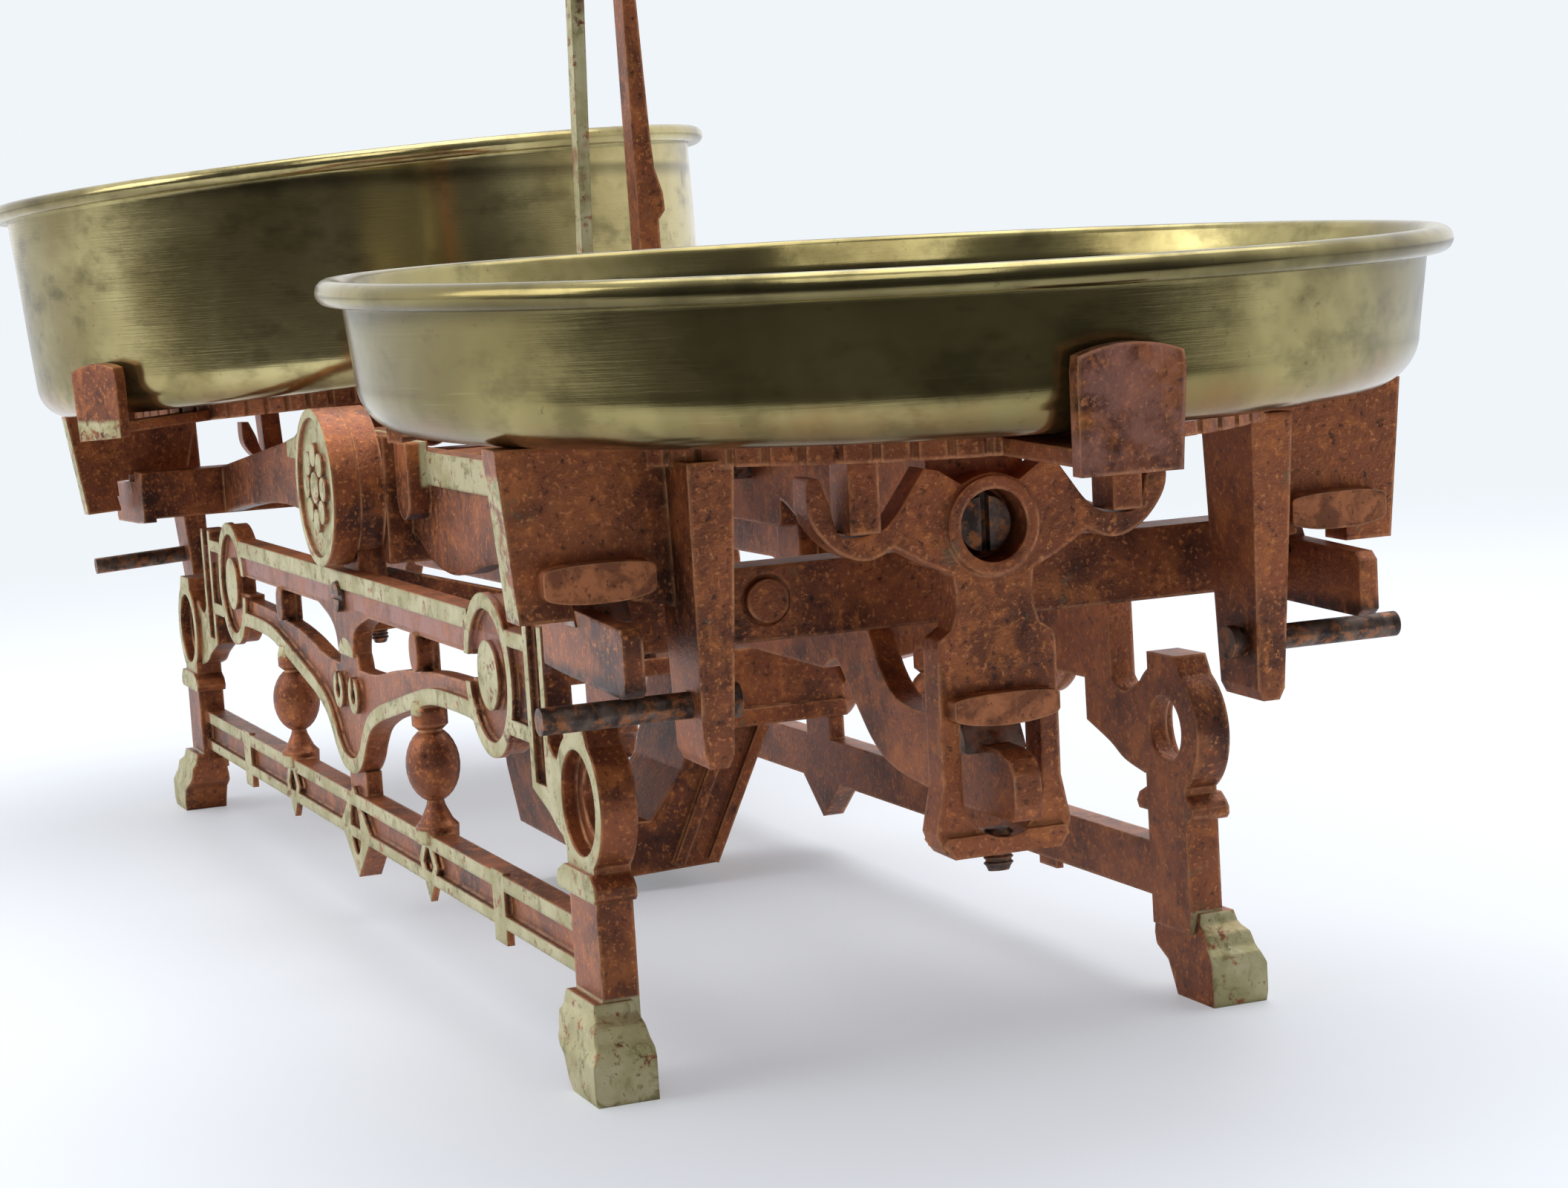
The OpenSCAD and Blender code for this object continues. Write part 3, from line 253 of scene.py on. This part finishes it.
def copper_paint(finish, hollow_soot_and_shade, edge):
    """Old copper bronze over iron: cloudy, speckled, darker in corners with soot and painted shade,
    bright where hands rub.
    """
    cloud = finish.noise(26, 4, 0.6)
    blotch = finish.noise(7, 4, 0.65, warp=0.6)
    speck = finish.noise(1.6, 3, 0.7)
    colour = finish.mix(DEEP, COPPER, cloud.above(0.3, 0.62))
    colour = finish.mix(colour, RUST, blotch.above(0.46, 0.72) * 0.5)
    colour = finish.mix(colour, RUST, speck.above(0.54, 0.66) * 0.5)
    colour = finish.mix(colour, SOOT_AND_SHADE, speck.above(0.42, 0.3) * 0.7)
    colour = finish.mix(colour, SOOT_AND_SHADE, (blotch + cloud).above(0.82, 0.66) * 0.4)
    colour = finish.mix(colour, VERDIGRIS, finish.noise(11, 5, 0.7).above(0.62, 0.72) * 0.5)
    # Darker in corners: soot and painted shade
    colour = finish.mix(colour, SOOT_AND_SHADE, hollow_soot_and_shade.above(0.22, 0.75) * 0.88)
    colour = finish.mix(colour, BRIGHT, finish.noise(0.8, 2, 0.6).above(0.6, 0.7) * 0.35)
    rubbed = edge.above(0.015, 0.16) * finish.noise(5, 3, 0.6).above(0.32, 0.55)
    colour = finish.mix(colour, BRIGHT, rubbed * 0.8)
    return colour, speck, rubbed


def grain(finish, speck):
    """Sandy skin of the casting with small pits."""
    return speck * 0.7 + finish.noise(0.55, 2, 0.6) * 0.3


def casting(name, gold=None, pale=None, oil_and_shade=None, sheen=None):
    """Painted casting. Four marks say where pale gold, white chips, dark oil with painted shade on
    undersides, and a pink painted sheen lie.
    """
    finish = Finish(name)
    normal, edge = finish.rounded(1.1)
    hollow_soot_and_shade = finish.hollow_soot_and_shade(7)
    colour, speck, rubbed = copper_paint(finish, hollow_soot_and_shade, edge)
    rough = 0.31 + speck * 0.26 - rubbed * 0.1
    # Pink painted sheen where that mark lies
    if sheen:
        colour = finish.mix(colour, PINK_SHEEN, sheen(finish) * finish.noise(8, 4, 0.7).above(0.36, 0.6) * 0.8)
    # Dark oil, and painted shade on undersides, where that mark lies
    if oil_and_shade:
        colour = finish.mix(colour, OIL_AND_SHADE, oil_and_shade(finish) * finish.noise(4, 4, 0.7).above(0.3, 0.5) * 0.85)
    if pale:
        colour = finish.mix(colour, CHIP, pale(finish) * finish.noise(2.2, 4, 0.7).above(0.44, 0.56))
    if gold:
        where = gold(finish)
        chips = finish.noise(3.4, 5, 0.72).above(0.34, 0.44)
        tint = finish.mix(GOLD, GOLD_LIGHT, finish.noise(9, 3, 0.6).above(0.35, 0.65))
        tint = finish.mix(tint, OLIVE, finish.noise(6, 4, 0.7, warp=0.8).above(0.52, 0.66) * 0.7)
        tint = finish.mix(tint, SOOT_AND_SHADE, finish.noise(2.4, 4, 0.75).above(0.62, 0.7) * 0.7)
        # Darker in the gold's corners: soot and painted shade
        tint = finish.mix(tint, SOOT_AND_SHADE, hollow_soot_and_shade.above(0.5, 0.95) * 0.5)
        colour = finish.mix(colour, tint, where * chips)
        rough = rough + where * 0.08
    return finish.done(colour, rough, 0.5, grain(finish, speck), 0.22, normal)


# Bounds of the painted marks. A pair says where a mark is off and where it is full, in metres,
# as a share for faces, and in square millimetres for the disc
FLAT = (0.6, 0.8)
SQUARE_ON = (0.7, 0.9)
DOWNWARD = (-0.6, -0.9)
OUTWARD = (0.3, 0.6)
RIB_DEPTH = (0.0595, 0.0598)
LEG_FROM = (0.162, 0.163)
LEG_BELOW = (0.0345, 0.0335)
DROP_X = 0.063
DROP_HALF = (0.0068, 0.0062)
DROP_FROM = (0.0292, 0.0296)
DROP_TO = (0.0540, 0.0534)
KNOB_FROM = (0.0612, 0.0618)
KNOB_TO = (0.0713, 0.0709)
DISC_Z = 0.055
DISC_EDGE = (83, 79)
DISC_DEPTH = (0.0585, 0.0590)
FOOT_BELOW = (0.0172, 0.0166)
FOOT_FROM = (0.158, 0.160)


def away(facing, place):
    """How far a face looks away from the middle of the scale along one axis."""
    return facing * place.above(-0.001, 0.001) * 2 - facing


def frame_gold(finish):
    """Ribs, rings, collars and disc on the outer faces, and two faces of each foot."""
    x, y, z = finish.split(finish.place)
    nx, ny = finish.split(finish.facing)[:2]
    side = abs(y)
    flat = abs(ny).above(*FLAT)
    leg = abs(x).above(*LEG_FROM) * z.above(*LEG_BELOW)
    at_drop = abs(abs(x) - DROP_X).above(*DROP_HALF)
    drop = at_drop * z.above(*DROP_FROM) * z.above(*DROP_TO)
    knob = at_drop * z.above(*KNOB_FROM) * z.above(*KNOB_TO)
    ribs = side.above(*RIB_DEPTH) * flat * (1 - leg) * (1 - drop) * (1 - knob)
    across = (x * x + (z - DISC_Z) * (z - DISC_Z)) * 1e6
    disc = across.above(*DISC_EDGE) * side.above(*DISC_DEPTH) * flat
    side_face = away(ny, y)
    toe_face = away(nx, x)
    foot = z.above(*FOOT_BELOW) * abs(x).above(*FOOT_FROM)
    return ribs.most(disc).most(foot * side_face.above(*OUTWARD).most(toe_face.above(*OUTWARD)))


def rail_sheen(finish):
    """Pink band along the top rail, below its pale edge: a painted sheen."""
    y, z = finish.split(finish.place)[1:]
    band = z.above(0.0712, 0.0716) * z.above(0.0756, 0.0752)
    return band * abs(y).above(0.0580, 0.0586)


def hub_gold(finish):
    """Flat outer face of a hub cover, but not its drum."""
    y = finish.split(finish.place)[1]
    ny = finish.split(finish.facing)[1]
    return abs(ny).above(*SQUARE_ON) * abs(y).above(0.060, 0.062)


def low_oil_and_shade(finish):
    """Dark oily line along the lower edge of the beam's plates, and painted shade on all faces that look
    down.
    """
    z = finish.split(finish.place)[2]
    nz = finish.split(finish.facing)[2]
    band = z.above(0.0800, 0.0770) * z.above(0.0740, 0.0755)
    return band.most(nz.above(*DOWNWARD))


def beam_gold(finish):
    """Raised strip beside the hub."""
    y, z = finish.split(finish.place)[1:]
    strip = abs(y).above(0.0463, 0.0465) * abs(y).above(0.0485, 0.0475)
    return strip * z.above(0.0985, 0.0995)


def wing_gold(finish):
    """Pale gold left on the end faces of the wings, below the seat."""
    y, z = finish.split(finish.place)[1:]
    ny = finish.split(finish.facing)[1]
    end_face = abs(y).above(0.0792, 0.0800) * abs(ny).above(*SQUARE_ON)
    wing = end_face * z.above(0.1125, 0.1110)
    return wing * finish.noise(6, 4, 0.7).above(0.4, 0.52)


def tab_sheen(finish):
    """Pale pink on the outer tabs: a painted sheen."""
    x = finish.split(finish.place)[0]
    return abs(x).above(0.2725, 0.2740) * 0.75


def lug_chips(finish):
    """Chipped white paint on the undersides, in small patches."""
    nz = finish.split(finish.facing)[2]
    return nz.above(*DOWNWARD) * finish.noise(16, 3, 0.6).above(0.56, 0.62)


def iron(name, light=0, brown=0.5):
    """Bare iron or steel. light lifts the pale tone and brown is the share of rust."""
    finish = Finish(name)
    normal, edge = finish.rounded(0.25)
    cloud = finish.noise(4, 4, 0.6)
    fine = finish.noise(0.7, 3, 0.7)
    pale = tone(112 + light, 96 + light, 86 + light)
    colour = finish.mix(IRON_DARK, pale, cloud.above(0.35, 0.65))
    colour = finish.mix(colour, RUST, finish.noise(2.2, 4, 0.7).above(0.46, 0.62) * brown)
    colour = finish.mix(colour, IRON_EDGE, edge.above(0.03, 0.25) * 0.5)
    return finish.done(colour, 0.32 + fine * 0.3, 0.75, fine, 0.05, normal)


def bearing_skin(name):
    """Half-moon bearings: rubbed copper paint over steel with bright thin edges, darker in corners with
    soot and painted shade.
    """
    finish = Finish(name)
    normal, edge = finish.rounded(0.5)
    hollow_soot_and_shade = finish.hollow_soot_and_shade(3)
    blotch = finish.noise(4.5, 4, 0.65, warp=0.5)
    speck = finish.noise(1.1, 3, 0.7)
    colour = finish.mix(BEARING_DULL, BEARING_RUBBED, blotch.above(0.38, 0.62))
    colour = finish.mix(colour, DEEP, speck.above(0.44, 0.32) * 0.7)
    colour = finish.mix(colour, BEARING_EDGE, edge.above(0.02, 0.22) * 0.6)
    # Darker in corners: soot and painted shade
    colour = finish.mix(colour, SOOT_AND_SHADE, hollow_soot_and_shade.above(0.4, 0.9) * 0.6)
    return finish.done(colour, 0.4 + speck * 0.2, 0.5, grain(finish, speck), 0.1, normal)


def brass(name, height, low, dull, clean):
    """Spun brass with brown and olive tarnish between two tones, and a painted shadow just under the
    rim. low is the height of the pan's underside and height its depth, tilt included, in metres."""
    finish = Finish(name)
    cloud = finish.noise(46, 4, 0.55, warp=0.5)
    blotch = finish.noise(14, 4, 0.6, at=finish.stretched(1, 1, 1.6))
    fine = finish.noise(2.2, 4, 0.7)
    spun = finish.noise(22, 3, 0.7, at=finish.stretched(1, 1, 46))
    z = finish.split(finish.place)[2]
    foot = z.above(low + 0.018, low)
    colour = finish.mix(dull, clean, cloud.above(0.3, 0.7))
    colour = finish.mix(colour, BRASS_OLIVE, blotch.above(0.46, 0.7) * 0.6)
    brown = (finish.noise(30, 3, 0.6) * foot).above(0.3, 0.6)
    colour = finish.mix(colour, BRASS_BROWN, brown * 0.5)
    colour = finish.mix(colour, BRASS_SPOT, fine.above(0.62, 0.74) * 0.45)
    rim = low + height
    # Painted shadow in a band just under the rim
    rim_shadow = z.above(rim - 0.008, rim - 0.004) * z.above(rim - 0.002, rim - 0.004)
    colour = finish.mix(colour, BRASS_RIM_SHADE, rim_shadow * 0.55)
    colour = finish.mix(colour, BRASS_STREAK, spun.above(0.6, 0.78) * 0.2)
    rough = 0.09 + blotch * 0.13 + fine * 0.05
    relief = finish.noise(46, 2, 0.5) * 0.8 + spun * 0.12 + fine * 0.08
    return finish.done(colour, rough, 0.94, relief, 0.2)


FINISHES = {
    "frame": casting("frame_copper_and_gold", gold=frame_gold, sheen=rail_sheen),
    "beam": casting("beam_copper_and_gold", gold=beam_gold, oil_and_shade=low_oil_and_shade),
    "carrier": casting("carrier_copper_and_chips", gold=wing_gold, pale=lug_chips, sheen=tab_sheen),
    "plain": casting("plain_copper_paint"),
    "gold": casting("gold_paint", gold=lambda finish: finish.noise(14, 3, 0.6).above(0.3, 0.45)),
    "hub": casting("hub_copper_and_gold", gold=hub_gold),
    "bearing": bearing_skin("bearing_skin"),
    "iron": iron("dark_iron"),
    "pin": iron("rusty_pin", brown=0.4),
    "steel": iron("knife_steel", light=50, brown=0.3),
    # The shallow pan's brass tones are set darker than the deep pan's: painted shade on the same brass
    "shallow_brass": brass(
        "shallow_pan_brass", 0.0286, 0.1144, dull=tone(120, 108, 68), clean=tone(172, 160, 108)
    ),
    "deep_brass": brass(
        "deep_pan_brass", 0.0606, 0.1134, dull=tone(146, 132, 86), clean=tone(198, 184, 130)
    ),
}


def finish_of(node):
    """Key of the finish that a CAD piece wears, from its name."""
    if "side_frame" in node:
        return "frame"
    if node == "main_beam":
        return "beam"
    if node in ("near_carrier", "far_carrier"):
        return "carrier"
    if node == "fixed_pointer":
        return "gold"
    if "hub_cover" in node:
        return "hub"
    if node.endswith("knives") or node in ("fulcrum_bearings", "lever_bearings"):
        return "steel"
    if "bearing" in node:
        return "bearing"
    if "pins" in node:
        return "pin"
    if "screw" in node or "bolts" in node:
        return "iron"
    return "plain"


for name, obj in CAD.items():
    key = {"shallow_pan": "shallow_brass", "deep_pan": "deep_brass"}.get(name) or finish_of(name)
    obj.data.materials.clear()
    obj.data.materials.append(FINISHES[key])


# ---------------------------------------------------------------- turned pieces


DENTS_PER_METRE = 14.0
SAME_POINT = 2e-6


def adder(tree):
    """A function that adds a node to the tree, with its settings and inputs."""

    def add(kind, settings=None, inputs=None):
        node = tree.nodes.new(kind)
        for key, value in (settings or {}).items():
            setattr(node, key, value)
        for key, value in (inputs or {}).items():
            if isinstance(value, bpy.types.NodeSocket):
                tree.links.new(value, node.inputs[key])
            else:
                node.inputs[key].default_value = value
        return node

    return add


def turned_tree():
    """Node tree that sweeps a section line once round the upright axis."""
    tree = bpy.data.node_groups.new("turned_shape", "GeometryNodeTree")
    face = tree.interface
    face.new_socket("Section", in_out="INPUT", socket_type="NodeSocketGeometry")
    for label, kind, value in (
        ("Round steps", "NodeSocketInt", 96),
        ("Section steps", "NodeSocketInt", 64),
        ("Thread lean", "NodeSocketFloat", 0.0),
        ("Dent depth", "NodeSocketFloat", 0.0),
    ):
        face.new_socket(label, in_out="INPUT", socket_type=kind).default_value = value
    face.new_socket("Finish", in_out="INPUT", socket_type="NodeSocketMaterial")
    face.new_socket("Geometry", in_out="OUTPUT", socket_type="NodeSocketGeometry")
    add = adder(tree)
    times = {"operation": "MULTIPLY"}
    given = add("NodeGroupInput").outputs
    steps = {2: given["Section steps"], 3: given["Round steps"]}
    grid = add("GeometryNodeMeshGrid", None, {0: 1.0, 1: 1.0, **steps})
    line = add("GeometryNodeMeshToCurve", None, {"Mesh": given["Section"]})
    spot = add("ShaderNodeSeparateXYZ", None, {0: add("GeometryNodeInputPosition").outputs[0]})
    along = add("ShaderNodeMath", {"operation": "ADD"}, {0: spot.outputs[0], 1: 0.5})
    round_ = add("ShaderNodeMath", times, {0: spot.outputs[1], 1: 2 * math.pi})
    sample = add(
        "GeometryNodeSampleCurve",
        {"mode": "FACTOR", "use_all_curves": True},
        {"Curves": line.outputs[0], "Factor": along.outputs[0]},
    )
    point = add(
        "ShaderNodeVectorRotate",
        {"rotation_type": "Z_AXIS"},
        {"Vector": sample.outputs["Position"], "Angle": round_.outputs[0]},
    )
    cosine = add("ShaderNodeMath", {"operation": "COSINE"}, {0: round_.outputs[0]})
    lean = add("ShaderNodeMath", times, {0: cosine.outputs[0], 1: given["Thread lean"]})
    waves = {"Vector": point.outputs[0], "Scale": DENTS_PER_METRE, "Detail": 2.0}
    clouds = add("ShaderNodeTexNoise", None, waves)
    dent = add("ShaderNodeMath", times, {0: clouds.outputs["Fac"], 1: given["Dent depth"]})
    inward = add("ShaderNodeMath", {"operation": "SUBTRACT"}, {0: 1.0, 1: dent.outputs[0]})
    shrink = add("ShaderNodeCombineXYZ", None, {0: inward.outputs[0], 1: inward.outputs[0], 2: 1.0})
    dented = add("ShaderNodeVectorMath", times, {0: point.outputs[0], 1: shrink.outputs[0]})
    rise = add("ShaderNodeCombineXYZ", None, {2: lean.outputs[0]})
    both = {0: dented.outputs[0], 1: rise.outputs[0]}
    where = add("ShaderNodeVectorMath", {"operation": "ADD"}, both)
    swept = {"Geometry": grid.outputs["Mesh"], "Position": where.outputs[0]}
    moved = add("GeometryNodeSetPosition", None, swept)
    near = {"Geometry": moved.outputs[0], "Distance": SAME_POINT}
    joined = add("GeometryNodeMergeByDistance", None, near)
    real = add("GeometryNodeRealizeInstances", None, {"Geometry": joined.outputs[0]})
    worn = {"Geometry": real.outputs[0], "Material": given["Finish"]}
    painted = add("GeometryNodeSetMaterial", None, worn)
    add("NodeGroupOutput", None, {0: painted.outputs[0]})
    return tree


TURNED = turned_tree()


def grown(name, tree, start, values):
    """Plain mesh object that a node tree makes from the mesh start, with its inputs set by name."""
    seed = bpy.data.objects.new(name + "_seed", start)
    bpy.context.scene.collection.objects.link(seed)
    modifier = seed.modifiers.new("grow", "NODES")
    modifier.node_group = tree
    for item in tree.interface.items_tree:
        if item.in_out == "INPUT" and item.name in values:
            modifier[item.identifier] = values[item.name]
    evaluated = seed.evaluated_get(bpy.context.evaluated_depsgraph_get())
    mesh = bpy.data.meshes.new_from_object(evaluated)
    mesh.name = name
    bpy.data.objects.remove(seed)
    obj = bpy.data.objects.new(name, mesh)
    bpy.context.scene.collection.objects.link(obj)
    return obj


SMOOTH_BELOW = math.radians(40)


def tidy(obj):
    """Closed, outward, smooth over gentle bends."""
    work = bmesh.new()
    work.from_mesh(obj.data)
    bmesh.ops.remove_doubles(work, verts=work.verts, dist=1e-6)
    bmesh.ops.dissolve_degenerate(work, edges=work.edges, dist=1e-7)
    bmesh.ops.recalc_face_normals(work, faces=work.faces)
    for edge in work.edges:
        edge.smooth = len(edge.link_faces) == 2 and edge.calc_face_angle(0) < SMOOTH_BELOW
    for face in work.faces:
        face.smooth = True
    work.to_mesh(obj.data)
    work.free()
    return obj


def line_mesh(name, points):
    """Open line of edges through the points."""
    mesh = bpy.data.meshes.new(name)
    mesh.from_pydata(points, [(i, i + 1) for i in range(len(points) - 1)], [])
    return mesh


def turned(name, section, place, finish, round_steps, section_steps, lean=0.0, dent=0.0):
    """A turned piece from its section, given as (radius, height) in millimetres."""
    start = line_mesh(name + "_line", [(r * MM, 0, z * MM) for r, z in section])
    values = {
        "Round steps": round_steps + 1,
        "Section steps": section_steps,
        "Thread lean": lean * MM,
        "Dent depth": dent,
        "Finish": FINISHES[finish],
    }
    obj = grown(name, TURNED, start, values)
    obj.data.transform(place)
    return tidy(obj)


def arc(centre, radius, start, end, steps):
    """Points on an arc round centre, from the angle start to end in degrees."""
    turns = [math.radians(start + (end - start) * k / steps) for k in range(steps + 1)]
    return [(centre[0] + radius * math.cos(t), centre[1] + radius * math.sin(t)) for t in turns]


def pan_section(height):
    """Section of a pan: floor, corner, wall, rolled bead and back down inside."""
    wall = PAN_D / 2 - 2 * RIM_R
    foot = wall - WALL_DRAFT
    corner = (foot - PAN_CORNER, PAN_CORNER)
    bead = (PAN_D / 2 - RIM_R, height)
    return (
        [(0, 0)]
        + arc(corner, PAN_CORNER, -90, 0, 12)
        + [(wall, height - RIM_R)]
        + arc(bead, RIM_R, BEAD_FROM, BEAD_TO, 28)
        + [(wall - SHEET, height - RIM_R - 1)]
        + arc(corner, PAN_CORNER - SHEET, 0, -90, 12)
        + [(0, SHEET)]
    )


for name, height, place, body, finish in (
    ("shallow_pan", SHALLOW_H, NEAR_PLACE, "near_pan", "shallow_brass"),
    ("deep_pan", DEEP_H, FAR_PLACE, "far_pan", "deep_brass"),
):
    seat = place @ shift(-PAN_IN, 0, SEAT_UP)
    steps = {"round_steps": 200, "section_steps": 320}
    pan = turned(name + "_spun", pan_section(height), seat, finish, dent=PAN_DENT, **steps)
    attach(pan, body)
    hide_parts(name)


# Threaded stop screws at the feet of the links. STOP_X and STOP_LOW count from the end knife,
# and the other heights from STOP_LOW
STOP_X = 14.0
STOP_LOW = -53.1
STOP_R = 2.6
STOP_TOP = 8.0
TIP_INSET = 0.8
TIP_Z = 0.55
THREAD_Z = 0.9
THREAD_DEPTH = 0.45
PITCH = 1.0
THREAD_LEAN = 0.25

for name, place, body in (
    ("near_stop_screw", NEAR_PLACE, "near_carrier"),
    ("far_stop_screw", FAR_PLACE, "far_carrier"),
):
    thread = [(STOP_R - THREAD_DEPTH * (k % 2), THREAD_Z + PITCH / 2 * k) for k in range(1, 14)]
    tip = [(0, TIP_Z), (STOP_R - TIP_INSET, TIP_Z)]
    shank = [(STOP_R - THREAD_DEPTH, STOP_TOP), (0, STOP_TOP)]
    foot = place @ shift(STOP_X, 0, STOP_LOW)
    steps = {"round_steps": 48, "section_steps": 160}
    screw = turned(name + "_thread", tip + thread + shank, foot, "iron", lean=THREAD_LEAN, **steps)
    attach(screw, body)
    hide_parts(name)


# ---------------------------------------------------------------- camera, light and floor


# The camera that the photo was taken with, in metres
CAMERA_PLACE = (0.7013, -0.22518, 0.14474)
CAMERA_LOOK = (-0.92639, 0.36100, -0.10713)
CAMERA_ROLL = math.radians(-3.53)
PHOTO_WIDTH = 2112
FOCAL_PIXELS = 4270.12
SENSOR = 36


def camera():
    """The photo's camera, rolled a little about its line of sight."""
    forward = Vector(CAMERA_LOOK).normalized()
    level = forward.cross(Vector((0, 0, 1))).normalized()
    upright = level.cross(forward)
    right = math.cos(CAMERA_ROLL) * level + math.sin(CAMERA_ROLL) * upright
    up = math.cos(CAMERA_ROLL) * upright - math.sin(CAMERA_ROLL) * level
    data = bpy.data.cameras.new("camera")
    data.sensor_fit = "HORIZONTAL"
    data.sensor_width = SENSOR
    data.lens = FOCAL_PIXELS / PHOTO_WIDTH * SENSOR
    data.clip_start = 0.01
    obj = bpy.data.objects.new("camera", data)
    turned_to = Matrix((right, up, -forward)).transposed().to_4x4()
    obj.matrix_world = Matrix.Translation(CAMERA_PLACE) @ turned_to
    bpy.context.scene.collection.objects.link(obj)
    bpy.context.scene.camera = obj


# Level direction from the scale to the camera
TO_CAMERA = (0.92, -0.38, 0.0)
SKY_TINT = (0.95, 0.965, 1.0, 1)
# The floor's half side, and the distances between which it fades or mirrors a dark room, in metres
FLOOR_REACH = 12.0
FADE = (0.36, 1.1)
ROOM = (0.32, 0.52)


def studio():
    """Pale surroundings: bright above and behind the scale, dimmer on the side of the camera."""
    world = bpy.data.worlds.new("studio")
    bpy.context.scene.world = world
    world.use_nodes = True
    tree = world.node_tree
    tree.nodes.clear()

    add = adder(tree)
    direction = add("ShaderNodeTexCoord").outputs["Generated"]
    toward = add("ShaderNodeVectorMath", {"operation": "DOT_PRODUCT"}, {0: direction, 1: TO_CAMERA})
    span = {"From Min": -0.15, "From Max": 0.7, "To Min": 1.1, "To Max": 0.08}
    steps = {"Value": toward.outputs["Value"], **span}
    dim = add("ShaderNodeMapRange", {"interpolation_type": "SMOOTHSTEP"}, steps)
    light = add("ShaderNodeBackground", None, {"Color": SKY_TINT, "Strength": dim.outputs[0]})
    plain = add("ShaderNodeBackground", None, {"Color": (*BACKDROP, 1), "Strength": 1.0})
    seen = add("ShaderNodeLightPath").outputs["Is Camera Ray"]
    both = add("ShaderNodeMixShader", None, {0: seen, 1: light.outputs[0], 2: plain.outputs[0]})
    add("ShaderNodeOutputWorld", None, {0: both.outputs[0]})


def lamp(name, place, aim, size, power):
    """Square white lamp at place, turned to aim."""
    data = bpy.data.lights.new(name, "AREA")
    data.shape = "SQUARE"
    data.size = size
    data.energy = power
    obj = bpy.data.objects.new(name, data)
    obj.location = place
    obj.rotation_euler = (Vector(aim) - Vector(place)).to_track_quat("-Z", "Y").to_euler()
    bpy.context.scene.collection.objects.link(obj)


def floor():
    """Pale sheet that fades into the backdrop with distance, and keeps the shadow, lifted near the scale
    by a painted glow.
    """
    mesh = bpy.data.meshes.new("floor")
    corners = [(x * FLOOR_REACH, y * FLOOR_REACH, 0) for x, y in ((-1, -1), (1, -1), (1, 1), (-1, 1))]
    mesh.from_pydata(corners, [], [(0, 1, 2, 3)])
    obj = bpy.data.objects.new("floor", mesh)
    bpy.context.scene.collection.objects.link(obj)
    finish = Finish("floor_sheet")
    distance = finish.node("ShaderNodeVectorMath", {"operation": "LENGTH"}, {0: finish.place})
    far = Number(finish, distance.outputs["Value"]).above(*FADE)
    measured = {0: finish.place, 1: TO_CAMERA}
    ahead = finish.node("ShaderNodeVectorMath", {"operation": "DOT_PRODUCT"}, measured)
    ray = finish.node("ShaderNodeLightPath")
    mirrored = Number(finish, ray.outputs["Is Glossy Ray"])
    room = Number(finish, ahead.outputs["Value"]).above(*ROOM) * mirrored
    colour = finish.mix(FLOOR_PALE, ROOM_DARK, room)
    sheet = finish.node("ShaderNodeBsdfPrincipled", inputs={"Base Color": colour, "Roughness": 0.6})
    glow = finish.node("ShaderNodeEmission", inputs={"Color": BACKDROP, "Strength": 1.0})
    seen = Number(finish, ray.outputs["Is Camera Ray"])
    # At least 0.28 of the backdrop glow everywhere: painted light that lifts the shadow near the scale
    glow_share = (far * 0.72 + 0.28) * seen
    both = finish.node("ShaderNodeMixShader", inputs={0: glow_share, 1: sheet.outputs[0], 2: glow.outputs[0]})
    output = finish.node("ShaderNodeOutputMaterial")
    finish.tree.links.new(both.outputs[0], output.inputs["Surface"])
    obj.data.materials.append(finish.material)


camera()
studio()
lamp("overhead", place=(-0.2, 0.3, 1.3), aim=(0, 0, 0.1), size=1.2, power=10)
lamp("left", place=(-0.1, -1.4, 0.9), aim=(0, 0, 0.1), size=0.9, power=7)
lamp("front", place=(1.1, -0.35, 1.25), aim=(0.1, 0, 0.05), size=0.9, power=5)
floor()
bpy.context.scene.view_settings.view_transform = "Standard"
